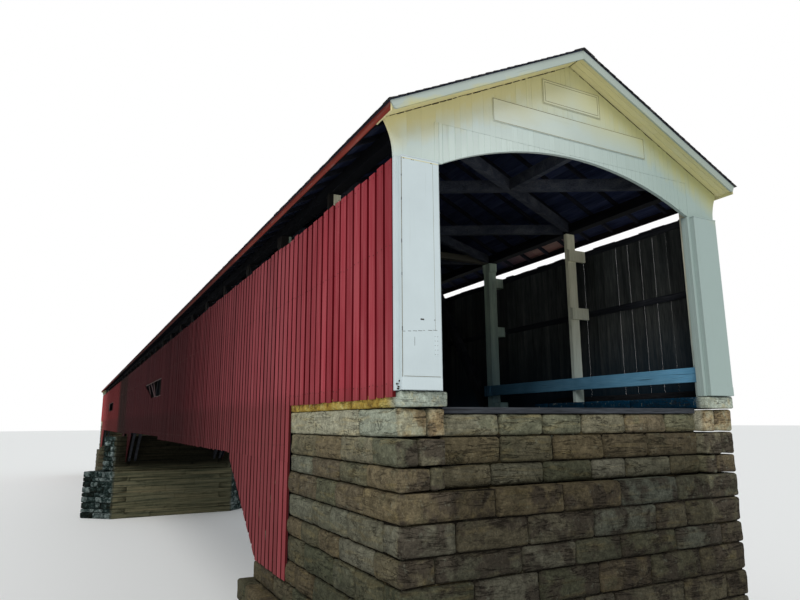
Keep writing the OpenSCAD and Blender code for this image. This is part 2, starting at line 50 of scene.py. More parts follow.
# Places, read from the CAD frame
gable_lo, gable_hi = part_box("near_gable")
wall_lo, wall_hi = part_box("right_near_siding")
cap_lo, cap_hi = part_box("capstones")
pier_lo, pier_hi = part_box("pier")
abut_lo, abut_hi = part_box("near_abutment")
deck_lo, deck_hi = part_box("deck")
eave_lo, eave_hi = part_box("eave_boards")
rake_lo, rake_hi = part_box("near_rake_boards")
roof_lo, roof_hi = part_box("right_roof")
skirt_lo, skirt_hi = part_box("skirts")
rib_lo, rib_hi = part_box("near_right_arch")
guard_lo, guard_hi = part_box("guard_planks")
pilaster_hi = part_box("near_pilasters")[1]

END = -gable_lo.y  # the portal's face, from the middle of the bridge
PORTAL_BACK = -gable_hi.y
WALL_IN, WALL_OUT = wall_lo.x, wall_hi.x
SPRING = gable_lo.z
CAP = cap_hi.z
CAP_UNDER = cap_lo.z
WALL_FOOT = CAP - 8 * MM
SPAN_FOOT = wall_lo.z
SKIRT_FOOT = skirt_lo.z
PITCH = math.radians(26.35)
SLOPE = math.tan(PITCH)
CLEAR = 244 * MM  # half of the portal opening
ARCH_RISE = 57 * MM
SOFFIT_HALF = gable_hi.x
SOFFIT_END = gable_hi.z - SLOPE * SOFFIT_HALF
SOFFIT_PEAK = gable_hi.z
ROOF_PEAK = rake_hi.z
RAFTER_PEAK = ROOF_PEAK - 8 * MM
WING_END = -END + 416 * MM
RIVER_FACE = -END + 635 * MM
SEAT = pier_hi.z
STAGE = 290 * MM
SPAN_MID = -1733 * MM
WINDOW = 680 * MM
FIRST_POST = -3395 * MM
PANEL = 277 * MM
POST_HALF = 11 * MM
SLOPE_SKIRT = math.tan(math.radians(35))


def lin(r, g, b):
    """A colour written as 0 to 255, as Blender's linear values."""
    out = []
    for c in (r, g, b):
        c /= 255
        out.append(c / 12.92 if c <= 0.04045 else ((c + 0.055) / 1.055) ** 2.4)
    return (*out, 1.0)


# Materials


class Shader:
    """A node material with short ways to add nodes."""

    def __init__(self, name, roughness=0.8, specular=0.25):
        self.mat = bpy.data.materials.new(name)
        self.mat.use_nodes = True
        self.tree = self.mat.node_tree
        self.tree.nodes.clear()
        self.bsdf = self.node("ShaderNodeBsdfPrincipled")
        self.bsdf.inputs["Roughness"].default_value = roughness
        self.bsdf.inputs["Specular IOR Level"].default_value = specular
        out = self.node("ShaderNodeOutputMaterial")
        self.tree.links.new(self.bsdf.outputs[0], out.inputs["Surface"])

    def node(self, kind, inputs=(), **props):
        n = self.tree.nodes.new(kind)
        for k, v in props.items():
            setattr(n, k, v)
        for k, v in dict(inputs).items():
            self.put(n.inputs[k], v)
        return n

    def put(self, socket, value):
        if isinstance(value, bpy.types.NodeSocket):
            self.tree.links.new(value, socket)
        else:
            socket.default_value = value

    def grain(self, along=None):
        """Coordinates whose first value runs along the grain: the pieces' own, or the object's for a CAD node."""
        if along is None:
            return self.node("ShaderNodeAttribute", attribute_name="gco").outputs["Vector"]
        place = self.node("ShaderNodeTexCoord").outputs["Object"]
        if along == "X":
            return place
        parts = self.node("ShaderNodeSeparateXYZ", {0: place})
        order = {"Y": "YXZ", "Z": "ZXY"}[along]
        return self.node("ShaderNodeCombineXYZ", {i: parts.outputs[c] for i, c in enumerate(order)}).outputs[0]

    def place(self):
        parts = self.node("ShaderNodeSeparateXYZ", {0: self.node("ShaderNodeTexCoord").outputs["Object"]})
        return parts.outputs

    def tint(self):
        return self.node("ShaderNodeAttribute", attribute_name="tint").outputs["Fac"]

    def scaled(self, vec, scale):
        return self.node("ShaderNodeVectorMath", {0: vec, 1: scale}, operation="MULTIPLY").outputs[0]

    def noise(self, vec, scale, detail=3.0, rough=0.55, bend=0.0):
        return self.node(
            "ShaderNodeTexNoise",
            {"Vector": vec, "Scale": scale, "Detail": detail, "Roughness": rough, "Distortion": bend},
        ).outputs["Fac"]

    def math(self, op, a, b=0.0, clamp=False):
        return self.node("ShaderNodeMath", {0: a, 1: b}, operation=op, use_clamp=clamp).outputs[0]

    def span(self, value, low, high, to_low=0.0, to_high=1.0):
        """Value mapped from low..high to to_low..to_high, held at both ends."""
        return self.node(
            "ShaderNodeMapRange", {0: value, 1: low, 2: high, 3: to_low, 4: to_high}, clamp=True
        ).outputs[0]

    def mix(self, fac, a, b, kind="MIX"):
        n = self.node("ShaderNodeMix", data_type="RGBA", blend_type=kind)
        self.put(n.inputs[0], fac)
        self.put(n.inputs[6], a)
        self.put(n.inputs[7], b)
        return n.outputs[2]

    def ramp(self, fac, stops):
        n = self.node("ShaderNodeValToRGB", {0: fac})
        e = n.color_ramp.elements
        while len(e) < len(stops):
            e.new(0.5)
        for one, (at, colour) in zip(e, stops):
            one.position = at
            one.color = colour
        return n.outputs[0]

    def shade(self, colour, factor):
        """Colour times a grey factor."""
        return self.node("ShaderNodeVectorMath", {0: colour, 3: factor}, operation="SCALE").outputs[0]

    def finish(self, colour, height=None, depth=0.5 * MM, rough=None):
        self.put(self.bsdf.inputs["Base Color"], colour)
        if height is not None:
            bump = self.node("ShaderNodeBump", {"Strength": 1.0, "Distance": depth, "Height": height})
            self.put(self.bsdf.inputs["Normal"], bump.outputs[0])
        if rough is not None:
            self.put(self.bsdf.inputs["Roughness"], rough)
        return self.mat


def timber(name, dark, mid, painted_sheen, along=None, contrast=1.0, roughness=0.88, look=None):
    """Bare sawn wood: long grain, broad weathering and checks; look changes its colour by place."""
    s = Shader(name, roughness, 0.08)
    g = s.grain(along)
    fibres = s.noise(s.scaled(g, (9, 170, 170)), 4.0, 5.0, 0.65, 0.3)
    bands = s.noise(s.scaled(g, (2.2, 30, 30)), 2.0, 3.0, 0.5, 0.6)
    patches = s.noise(g, 9.0, 3.0)
    tone = s.math("ADD", s.math("MULTIPLY", fibres, 0.5), s.math("MULTIPLY", bands, 0.5))
    tone = s.span(tone, 0.5 - 0.16 / contrast, 0.5 + 0.16 / contrast)
    colour = s.ramp(tone, [(0.0, dark), (0.45, mid), (1.0, painted_sheen)])
    colour = s.shade(colour, s.span(patches, 0.3, 0.7, 0.72, 1.18))
    if along is None:
        colour = s.shade(colour, s.span(s.tint(), 0.0, 1.0, 0.74, 1.16))
    if look:
        colour = look(s, colour, *s.place())
    checks = s.span(s.noise(s.scaled(g, (3, 120, 120)), 3.0, 2.0, 0.5), 0.66, 0.72)
    colour = s.mix(s.math("MULTIPLY", checks, 0.55), colour, lin(18, 15, 13))
    height = s.math("SUBTRACT", fibres, s.math("MULTIPLY", checks, 0.6))
    return s.finish(colour, height, 0.5 * MM, s.span(bands, 0.3, 0.7, roughness - 0.06, roughness + 0.06))


def red_paint(name, base, faded, deep, painted_shade=1.0, strength=1.0, painted_sheen=0.0, recess=False):
    """Faded barn paint on rough boards, greened in one stretch of the left wall; with painted shade over the water, in
    the recesses and towards the top, painted sunlight on the far span and a painted sheen near the portals.
    """
    s = Shader(name, 0.9, 0.04)
    g = s.grain()
    x, y, z = s.place()
    streaks = s.noise(s.scaled(g, (3.0, 80, 80)), 3.0, 4.0, 0.6, 0.2)
    broad = s.noise(s.scaled(g, (1.0, 3.0, 3.0)), 5.0, 3.0, 0.55)
    fibres = s.noise(s.scaled(g, (10, 260, 260)), 4.0, 3.0, 0.6)
    colour = s.mix(s.span(streaks, 0.38, 0.66), base, faded)
    colour = s.mix(s.span(broad, 0.40, 0.72, 0.0, 0.65), colour, deep)
    colour = s.shade(colour, s.span(s.tint(), 0.0, 1.0, 1.0 - 0.16 * strength, 1.0 + 0.16 * strength))
    # Bare grey wood where the paint has gone
    wear = s.math("ADD", s.noise(s.scaled(g, (5, 60, 60)), 4.0, 5.0, 0.7), s.span(z, 0.912, 0.932, 0.0, 0.12))
    colour = s.mix(s.span(wear, 0.69, 0.74, 0.0, 0.6), colour, lin(132, 100, 94))
    # Painted sunlight on the far span: brighter and more orange
    colour = s.mix(s.span(y, 0.75, 1.0, 0.0, 0.5), colour, lin(170, 52, 44))
    # Green growth beside the pier, on the left wall only
    edge = s.math("MULTIPLY", s.math("SUBTRACT", s.noise(s.scaled(g, (2, 14, 14)), 6.0, 4.0), 0.5), 0.5)
    inside = s.math("MULTIPLY", s.span(s.math("ADD", y, edge), 0.10, 0.17), s.span(s.math("ADD", y, edge), 0.93, 0.84))
    inside = s.math("MULTIPLY", inside, s.span(x, 0.0, -0.1))
    growth = s.ramp(s.noise(g, 60.0, 4.0), [(0.3, lin(60, 48, 30)), (0.7, lin(92, 70, 42))])
    colour = s.mix(s.math("MULTIPLY", inside, s.span(broad, 0.35, 0.6, 0.35, 0.85)), colour, growth)
    away = s.math("ABSOLUTE", y)
    if recess:
        # Painted shade in the recesses, deepening towards the middle of each span
        colour = s.shade(colour, s.span(away, 3.45, 3.8, 0.16, 1.0))
    else:
        # Painted sheen: board faces near the portals turn a lighter, less saturated pink
        painted_sheen = s.math("MULTIPLY", s.span(away, 3.75, 3.5, 0.0, painted_sheen), s.span(away, 2.4, 3.0))
        colour = s.mix(painted_sheen, colour, lin(206, 132, 136))
    # Splashed dirt along the lower edges
    low = s.span(s.math("ADD", z, s.math("MULTIPLY", streaks, 0.03)), 0.66, 0.635, 0.0, 0.35)
    colour = s.mix(low, colour, lin(92, 48, 44))
    # Painted shade over the water, from the portal's daylight down to the floor value of each span
    floor = s.span(y, 0.75, 1.1, 0.12, 0.3)
    reach = s.math("POWER", s.span(away, 2.2, 3.85), 1.6)
    dark = s.math("MULTIPLY", s.math("SUBTRACT", 1.0, floor), s.math("SUBTRACT", 1.0, reach))
    colour = s.shade(colour, s.math("SUBTRACT", 1.0, s.math("MULTIPLY", dark, painted_shade)))
    # Painted shade: darker towards the top of the wall, a little lighter low down
    colour = s.shade(colour, s.span(z, 0.62, 0.92, 1.05, 0.92))
    height = s.math("ADD", s.math("MULTIPLY", fibres, 0.6), s.math("MULTIPLY", streaks, 0.4))
    return s.finish(colour, height, 0.35 * MM)


# The white in painted shade on the right side, low and high
WHITE_RIGHT_SHADE = (lin(148, 166, 160), lin(176, 178, 128))


def white_paint(name, low, high, far, near, grime=1.0, peak=None, right_shade=0.85, right_shade_to=WHITE_RIGHT_SHADE):
    """Chalky white paint with painted reflected light: a cool sky cast that turns to the cream of painted warm bounce
    light between two distances under the roof; with dark runs and small chips.
    """
    s = Shader(name, 0.7, 0.15)
    g = s.grain()
    x, y, z = s.place()
    broad = s.noise(g, 14.0, 4.0, 0.6)
    runs = s.noise(s.scaled(g, (3, 75, 75)), 3.0, 4.0, 0.6)
    specks = s.noise(s.scaled(g, (60, 110, 110)), 4.0, 4.0, 0.7)
    fibres = s.noise(s.scaled(g, (9, 220, 220)), 4.0, 3.0, 0.6)
    across = s.math("ABSOLUTE", x)
    roof = s.math("SUBTRACT", peak or SOFFIT_PEAK, s.math("MULTIPLY", across, SLOPE))
    depth = s.math("SUBTRACT", roof, z)
    middle = s.span(across, 0.17, 0.02, 1.0, 1.9)
    depth = s.math("DIVIDE", s.math("ADD", depth, s.math("MULTIPLY", s.math("SUBTRACT", broad, 0.5), 0.05)), middle)
    # Painted reflected light: from the low colour to the high one between two distances under the roof
    under = s.span(depth, far, near)
    colour = s.mix(under, low, high)
    colour = s.shade(colour, s.span(broad, 0.3, 0.7, 0.95, 1.03))
    colour = s.shade(colour, s.span(s.tint(), 0.0, 1.0, 0.97, 1.02))
    # Painted shade on the right side: duller and greyer
    colour = s.mix(s.span(x, -0.16, 0.20, 0.0, right_shade), colour, s.mix(under, *right_shade_to))
    colour = s.mix(s.span(runs, 0.62, 0.78, 0.0, 0.35 * grime), colour, lin(132, 138, 118))
    colour = s.mix(s.span(specks, 0.72, 0.80, 0.0, 0.5 * grime), colour, lin(96, 92, 78))
    height = s.math("ADD", s.math("MULTIPLY", fibres, 0.5), s.math("MULTIPLY", broad, 0.5))
    return s.finish(colour, height, 0.2 * MM)


def stone_mat(name, stops, cap=False, rough=1.0):
    """Split sandstone: a colour of its own for each stone, bedding, lichen, darker towards the foot."""
    s = Shader(name, 0.95, 0.05)
    g = s.grain()
    x, y, z = s.place()
    own = s.ramp(s.tint(), stops)
    bed = s.noise(s.scaled(g, (8, 60, 60)), 1.6, 4.0, 0.6, 0.4)
    mottle = s.noise(g, 55.0, 6.0, 0.65, 0.4)
    blotch = s.noise(g, 24.0, 4.0, 0.6)
    grit = s.noise(g, 420.0, 4.0, 0.7)
    speck = s.noise(g, 150.0, 6.0, 0.78, 0.6)
    colour = s.shade(own, s.span(mottle, 0.32, 0.68, 0.6, 1.12))
    colour = s.mix(s.span(bed, 0.52, 0.74, 0.0, 0.4), colour, lin(196, 174, 116))
    colour = s.mix(s.span(s.noise(g, 22.0, 5.0, 0.7), 0.56, 0.68, 0.0, 0.35), colour, lin(122, 132, 104))
    front = s.span(s.math("ADD", y, s.math("MULTIPLY", mottle, 0.004)), -3.988, -3.994)
    low = s.span(z, 0.578, 0.570)
    brown = s.mix(s.span(blotch, 0.4, 0.6), lin(172, 142, 88), lin(116, 98, 74))
    brown = s.mix(low, brown, lin(98, 88, 78))
    across = s.math("ABSOLUTE", x)
    along = s.math("ABSOLUTE", y)
    if cap:
        spread = s.math("ADD", mottle, s.math("MULTIPLY", s.math("SUBTRACT", blotch, 0.5), 0.8))
        gold = s.ramp(spread, [(0.25, lin(104, 74, 26)), (0.5, lin(170, 140, 56)), (0.75, lin(190, 176, 104))])
        outside = s.math("MULTIPLY", s.span(along, 3.992, 3.97, 0.0, 0.95), s.span(across, 0.284, 0.298))
        colour = s.mix(outside, colour, gold)
        # Painted blue shade on the capstones' inner faces at the portal end
        inside = s.math("MULTIPLY", s.span(along, 3.995, 3.985), s.span(across, 0.27, 0.25))
        colour = s.mix(inside, colour, lin(6, 46, 68))
    else:
        colour = s.mix(s.math("MULTIPLY", front, s.span(blotch, 0.45, 0.55, 0.2, 0.85)), colour, brown)
    colour = s.shade(colour, s.span(speck, 0.34, 0.66, 0.62, 1.32))
    colour = s.mix(s.span(s.noise(g, 95.0, 6.0, 0.8), 0.58, 0.68, 0.0, 0.5), colour, lin(188, 192, 170))
    colour = s.shade(colour, s.span(grit, 0.3, 0.7, 0.72, 1.25))
    # Dark, nearly level cracks
    strata = s.noise(s.scaled(g, (9, 9, 60)), 1.3, 5.0, 0.65, 1.0)
    crack = s.span(s.math("ABSOLUTE", s.math("SUBTRACT", strata, 0.5)), 0.0, 0.022, 0.75, 0.0)
    crack = s.math("MULTIPLY", crack, s.span(blotch, 0.46, 0.54, 0.25 if cap else 0.4, 1.0))
    colour = s.mix(crack, colour, lin(44, 38, 30))
    if not cap:
        # Darker below the second course
        colour = s.shade(colour, s.span(low, 0.0, 1.0, 1.0, 0.52))
        under = s.math("MULTIPLY", s.span(across, 0.238, 0.232), s.span(along, 3.9, 3.92))
        colour = s.shade(colour, s.math("SUBTRACT", 1.0, s.math("MULTIPLY", under, s.span(z, 0.3, 0.5, 0.0, 0.45))))
        # The pier: brown layered sides with painted shade under the floor, and paler points
        river = s.span(along, 0.30, 0.28)
        side = s.math("MULTIPLY", river, s.span(across, 0.385, 0.365))
        layers = s.noise(s.scaled(s.grain("X"), (1.2, 6.0, 40.0)), 2.4, 5.0, 0.6)
        colour = s.mix(s.math("MULTIPLY", side, 0.85), colour, s.ramp(layers, [(0.34, lin(70, 76, 60)), (0.5, lin(122, 120, 94)), (0.66, lin(150, 140, 110))]))
        colour = s.shade(colour, s.math("SUBTRACT", 1.0, s.math("MULTIPLY", side, s.span(z, 0.275, 0.335, 0.0, 0.9))))
        points = s.math("SUBTRACT", river, side)
        patchy = s.math("ADD", s.noise(g, 34.0, 6.0, 0.8), s.math("MULTIPLY", s.math("SUBTRACT", s.tint(), 0.5), 0.2))
        rubble = s.ramp(patchy, [(0.38, lin(0, 16, 16)), (0.52, lin(40, 62, 62)), (0.66, lin(156, 170, 168))])
        colour = s.mix(s.math("MULTIPLY", points, 0.92), colour, rubble)
    # Darker towards the foot
    towards_foot = s.math("ADD", z, s.math("MULTIPLY", s.math("SUBTRACT", blotch, 0.5), 0.12))
    colour = s.shade(colour, s.span(towards_foot, 0.36, 0.58, 0.52, 1.0))
    colour = s.mix(s.span(s.noise(g, 30.0, 6.0, 0.75), 0.62, 0.72, 0.0, 0.55), colour, lin(58, 54, 44))
    facets = s.node("ShaderNodeTexVoronoi", {"Vector": g, "Scale": 46.0}, feature="F1").outputs["Distance"]
    height = s.math("ADD", s.math("MULTIPLY", mottle, 0.9), s.math("MULTIPLY", grit, 0.35 * rough))
    height = s.math("ADD", height, s.math("MULTIPLY", bed, 0.7))
    height = s.math("SUBTRACT", height, s.math("MULTIPLY", facets, 0.25 if cap else 0.9))
    height = s.math("SUBTRACT", height, s.math("MULTIPLY", crack, 0.3))
    return s.finish(colour, height, (1.6 if cap else 3.2) * MM)


def shingle_mat():
    s = Shader("roof_shingle", 0.9, 0.15)
    g = s.grain()
    fibres = s.noise(s.scaled(g, (14, 300, 300)), 4.0, 4.0, 0.65)
    patch = s.noise(s.grain("X"), 9.0, 4.0, 0.6)
    colour = s.ramp(s.tint(), [(0.0, lin(38, 38, 42)), (0.5, lin(56, 55, 57)), (1.0, lin(82, 79, 76))])
    colour = s.shade(colour, s.span(fibres, 0.3, 0.7, 0.75, 1.2))
    colour = s.mix(s.span(patch, 0.54, 0.70, 0.0, 0.4), colour, lin(70, 74, 58))
    return s.finish(colour, fibres, 0.4 * MM)


def iron_mat():
    s = Shader("old_iron", 0.7, 0.4)
    s.bsdf.inputs["Metallic"].default_value = 0.35
    g = s.grain()
    rust = s.noise(g, 700.0, 4.0, 0.7)
    colour = s.ramp(rust, [(0.35, lin(38, 32, 30)), (0.6, lin(84, 54, 40)), (0.8, lin(112, 70, 46))])
    return s.finish(colour, rust, 0.15 * MM)


RED = red_paint("barn_red", lin(154, 58, 67), lin(166, 80, 85), lin(130, 38, 47), painted_sheen=0.16)
# The red of the board recesses, darkened as painted shade
RED_RECESS_SHADE = red_paint("barn_red_recess_shade", lin(104, 14, 24), lin(112, 24, 34), lin(84, 8, 16), recess=True)
EAVE_RED = red_paint("eave_red", lin(126, 50, 40), lin(136, 70, 60), lin(104, 36, 30), 0.85)
WHITE = white_paint("portal_white", lin(202, 214, 209), lin(216, 208, 158), 0.055, 0.012)
SIGN_WHITE = white_paint("sign_white", lin(206, 215, 207), lin(216, 210, 168), 0.055, 0.012, 0.6)
# The soffit's cream is painted warm bounce light from below
SOFFIT_BOUNCE_CREAM = white_paint("soffit_cream_bounce_light", lin(226, 219, 172), lin(226, 216, 164), 0.02, 0.0, 1.2, right_shade=0.45)
RAKE_WHITE = white_paint(
    "rake_white", lin(192, 190, 146), lin(178, 189, 182), 0.019, 0.011, 1.8, ROOF_PEAK, 0.7, [lin(148, 160, 150)] * 2
)
PILASTER_WHITE = white_paint("pilaster_white", lin(202, 214, 217), lin(206, 214, 210), 0.075, 0.02, 0.6)


def guard_shade_look(s, colour, x, y, z):
    # Painted shade, darker further into the bridge
    return s.shade(colour, s.span(s.math("ABSOLUTE", y), 3.40, 3.95, 0.42, 1.0))


def sheathing_light_look(s, colour, x, y, z):
    """Painted light: the roof boards turn reddish and lighter beyond the right wall, where daylight from outside falls
    on them.
    """
    away = s.math("ABSOLUTE", y)
    out = s.math("MULTIPLY", s.span(x, 0.296, 0.300), s.span(away, 3.66, 3.60))
    out = s.math("MULTIPLY", out, s.span(away, 3.38, 3.54))
    return s.mix(out, colour, s.mix(s.tint(), lin(128, 96, 88), lin(190, 158, 146)))


def inner_wall_shade_look(s, colour, x, y, z):
    # Painted shade: darker and bluish low on the wall's inner face
    return s.mix(s.span(z, 0.78, 0.64, 0.0, 0.9), colour, lin(16, 36, 50))


# White planks coloured blue as painted sky-lit shade
GUARD_WHITE_SKY_SHADE = timber("guard_white_in_sky_shade", lin(92, 150, 184), lin(104, 164, 200), lin(122, 178, 210), look=guard_shade_look)
CRACK = timber("open_crack", lin(22, 16, 10), lin(44, 34, 22), lin(70, 56, 36))
OUTLINE_AND_SHADOW_LINE = timber("painted_outline_and_shadow_line", lin(96, 90, 68), lin(126, 118, 90), lin(150, 142, 110))
PALE_WOOD = timber("pale_board", lin(62, 54, 54), lin(92, 80, 78), lin(124, 112, 108))
SLAT = timber("loose_slat", lin(44, 34, 36), lin(66, 50, 52), lin(88, 70, 70))
# The roof boards' navy cast is painted blue shade
SHEATHING = timber("roof_boards", lin(25, 31, 52), lin(44, 52, 80), lin(64, 71, 94), look=sheathing_light_look)
# The eave boards' backs, darkened as painted shade
EAVE_BACK_SHADE = timber("eave_board_back_in_shade", lin(16, 14, 16), lin(26, 22, 24), lin(38, 33, 34))
INNER_WALL = timber("bare_wall_back", lin(38, 40, 40), lin(62, 65, 64), lin(90, 91, 87), look=inner_wall_shade_look)
DECKING = timber("floor_planks", lin(40, 42, 46), lin(62, 65, 70), lin(88, 92, 98))
LIMESTONE = stone_mat(
    "split_stone",
    [
        (0.0, lin(142, 130, 108)),
        (0.2, lin(170, 154, 120)),
        (0.4, lin(162, 168, 150)),
        (0.6, lin(158, 148, 120)),
        (0.8, lin(132, 134, 108)),
        (1.0, lin(180, 176, 154)),
    ],
)
CAPSTONE = stone_mat("cap_stone", [(0.0, lin(156, 166, 154)), (1.0, lin(174, 182, 168))], True)
MORTAR = stone_mat("packed_joint", [(0.0, lin(50, 45, 37)), (1.0, lin(62, 56, 46))])
SHINGLE = shingle_mat()
IRON = iron_mat()


# Meshes


class Mesh:
    """Collects closed solids into one mesh, with a tint and grain coordinates for each of them."""

    def __init__(self, seed):
        self.rng = random.Random(seed)
        self.v, self.f, self.g, self.t, self.m = [], [], [], [], []
        self.count = 0

    def add(self, verts, faces, axis=0, tint=None, mat=0, place=None, grain=None):
        verts = np.asarray(verts, float)
        if grain is None:
            order = [axis] + [a for a in range(3) if a != axis]
            grain = verts[:, order]
        shift = np.array([self.rng.uniform(-5, 5) for _ in range(3)])
        if place is not None:
            m = np.array(place)
            verts = verts @ m[:3, :3].T + m[:3, 3]
            if np.linalg.det(m[:3, :3]) < 0:
                faces = [f[::-1] for f in faces]
        self.v.append(verts)
        self.g.append(np.asarray(grain) + shift)
        self.t.append(np.full(len(verts), self.rng.random() if tint is None else tint))
        self.f += [tuple(i + self.count for i in f) for f in faces]
        self.m += mat if isinstance(mat, list) else [mat] * len(faces)
        self.count += len(verts)

    def build(self, name, materials, slot, replaces=(), smooth=False):
        data = bpy.data.meshes.new(name)
        data.from_pydata(np.concatenate(self.v).tolist(), [], self.f)
        data.attributes.new("gco", "FLOAT_VECTOR", "POINT").data.foreach_set(
            "vector", np.concatenate(self.g).astype(np.float32).ravel()
        )
        data.attributes.new("tint", "FLOAT", "POINT").data.foreach_set(
            "value", np.concatenate(self.t).astype(np.float32)
        )
        for m in materials:
            data.materials.append(m)
        data.polygons.foreach_set("material_index", self.m)
        data.polygons.foreach_set("use_smooth", [smooth] * len(self.f))
        data.update()
        o = bpy.data.objects.new(name, data)
        bpy.context.scene.collection.objects.link(o)
        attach(o, "root")
        if replaces:
            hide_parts(*replaces)
        return o


def outward(verts, faces):
    """The faces of a convex solid, each turned to face away from its middle."""
    mid = verts.mean(0)
    out = []
    for f in faces:
        p = verts[list(f)]
        normal = np.cross(p[1] - p[0], p[2] - p[0])
        out.append(f if normal @ (p.mean(0) - mid) > 0 else f[::-1])
    return out


def chamfer_topology():
    corners = [(x, y, z) for x in (-1, 1) for y in (-1, 1) for z in (-1, 1)]
    index = {(c, k): i for i, (c, k) in enumerate((c, k) for c in corners for k in range(3))}
    verts = np.array([[c[a] * (1 if a == k else 0.8) for a in range(3)] for c in corners for k in range(3)], float)
    faces = []
    for k in range(3):
        a, b = [i for i in range(3) if i != k]
        for s in (-1, 1):
            ring = []
            for sa, sb in ((-1, -1), (1, -1), (1, 1), (-1, 1)):
                c = [0, 0, 0]
                c[k], c[a], c[b] = s, sa, sb
                ring.append(index[(tuple(c), k)])
            faces.append(tuple(ring))
        for sa in (-1, 1):
            for sb in (-1, 1):
                c0, c1 = [0, 0, 0], [0, 0, 0]
                c0[k], c1[k] = -1, 1
                c0[a] = c1[a] = sa
                c0[b] = c1[b] = sb
                c0, c1 = tuple(c0), tuple(c1)
                faces.append((index[(c0, a)], index[(c1, a)], index[(c1, b)], index[(c0, b)]))
    for c in corners:
        faces.append(tuple(index[(c, k)] for k in range(3)))
    signs = np.array([c for c in corners for _ in range(3)], float)
    keep = np.array([[a == k for a in range(3)] for _ in corners for k in range(3)])
    return signs, keep, outward(verts, faces)


SIGNS, KEEP, BOX_FACES = chamfer_topology()


def plank(m, lo, hi, axis=0, bevel=0.5 * MM, tint=None, mat=0, place=None, jitter=0.0):
    """A board or block with small bevels; axis is the one that its grain follows."""
    lo, hi = np.minimum(lo, hi).astype(float), np.maximum(lo, hi).astype(float)
    if jitter:
        for a in range(3):
            lo[a] += m.rng.uniform(0, jitter)
            hi[a] -= m.rng.uniform(0, jitter)
    half = (hi - lo) / 2
    c = min(bevel, half.min() * 0.6)
    verts = SIGNS * np.where(KEEP, half, half - c) + (lo + hi) / 2
    m.add(verts, BOX_FACES, axis, tint, mat, place)


def extrude(m, outline, t0, t1, plane="XZ", axis=2, tint=None, mat=0, place=None, caps=(True, True)):
    """A prism from an outline in the named plane, between t0 and t1 on the axis left over."""
    n = len(outline)
    a, b = ("XYZ".index(p) for p in plane)
    k = 3 - a - b
    verts = np.zeros((2 * n, 3))
    for i, (p, q) in enumerate(outline):
        for j, t in ((i, t0), (i + n, t1)):
            verts[j, a], verts[j, b], verts[j, k] = p, q, t
    area = sum(
        outline[i][0] * outline[(i + 1) % n][1] - outline[(i + 1) % n][0] * outline[i][1] for i in range(n)
    )
    turn = ((area > 0) == ((a, b) in ((0, 1), (1, 2), (2, 0)))) == (t1 > t0)
    faces = [(i, (i + 1) % n, (i + 1) % n + n, i + n) for i in range(n)]
    if caps[0]:
        faces.append(tuple(range(n))[::-1])
    if caps[1]:
        faces.append(tuple(range(n, 2 * n)))
    if not turn:
        faces = [f[::-1] for f in faces]
    m.add(verts, faces, axis, tint, mat, place)


MIRROR_X = Matrix.Diagonal((-1, 1, 1, 1))
MIRROR_Y = Matrix.Diagonal((1, -1, 1, 1))
KEEP_PLACE = Matrix.Identity(4)


# Stonework


def stone(m, foot, z0, z1, radius, bulge, joint, nu=6, nw=5, tint=None, mat=0, place=None, chip=1.6 * MM):
    """A rounded, rough block over a four-sided plan: outer start, outer end, inner end, inner start."""
    a, b, c, d = (np.array(p, float) for p in foot)
    length = np.linalg.norm(b - a)
    depth = (np.linalg.norm(d - a) + np.linalg.norm(c - b)) / 2
    height = z1 - z0
    size = np.array([length, depth, height])
    r = min(radius, size.min() * 0.35)
    lines = []
    for extent, n in ((length, nu), (depth, 2), (height, nw)):
        inner = np.linspace(r, extent - r, max(n - 1, 1)) if n > 2 else np.array([r])
        lines.append(np.concatenate([[0.0], inner, [extent]]))
    nx, ny, nz = (len(line) for line in lines)
    index, points = {}, []

    def vertex(i, j, k):
        if (i, j, k) not in index:
            index[(i, j, k)] = len(points)
            points.append((lines[0][i], lines[1][j], lines[2][k]))
        return index[(i, j, k)]

    faces = []
    for i in range(nx - 1):
        for k in range(nz - 1):
            for j, flip in ((0, False), (ny - 1, True)):
                f = (vertex(i, j, k), vertex(i + 1, j, k), vertex(i + 1, j, k + 1), vertex(i, j, k + 1))
                faces.append(f[::-1] if flip else f)
    for i in range(nx - 1):
        for j in range(ny - 1):
            for k, flip in ((0, True), (nz - 1, False)):
                f = (vertex(i, j, k), vertex(i + 1, j, k), vertex(i + 1, j + 1, k), vertex(i, j + 1, k))
                faces.append(f[::-1] if flip else f)
    for j in range(ny - 1):
        for k in range(nz - 1):
            for i, flip in ((0, True), (nx - 1, False)):
                f = (vertex(i, j, k), vertex(i, j + 1, k), vertex(i, j + 1, k + 1), vertex(i, j, k + 1))
                faces.append(f[::-1] if flip else f)
    p = np.array(points)
    inner = np.clip(p, r, size - r)
    away = p - inner
    reach = np.linalg.norm(away, axis=1, keepdims=True)
    away /= np.maximum(reach, 1e-9)
    p = inner + away * r
    shift = Vector([m.rng.uniform(-50, 50) for _ in range(3)])
    share = p / size
    crown = bulge * (1 - np.abs(2 * share[:, 0] - 1) ** 3) * (1 - np.abs(2 * share[:, 2] - 1) ** 3)
    rough = np.array(
        [
            0.65 * noise.noise(Vector(q) * 38 + shift) + 0.35 * noise.noise(Vector(q) * 110 - shift)
            for q in p.tolist()
        ]
    )
    push = crown * np.abs(away[:, 1]) + chip * (0.3 + 0.7 * np.abs(away[:, 1])) * (rough - 0.45) - joint
    p = p + away * push[:, None]
    u, v = (p[:, 0] / length)[:, None], (p[:, 1] / depth)[:, None]
    plan = (1 - u) * (1 - v) * a + u * (1 - v) * b + u * v * c + (1 - u) * v * d
    verts = np.column_stack([plan, z0 + p[:, 2]])
    side = (b - a)[0] * (d - a)[1] - (b - a)[1] * (d - a)[0]
    if side < 0:
        faces = [f[::-1] for f in faces]
    m.add(verts, faces, 0, tint, mat, place, grain=p)


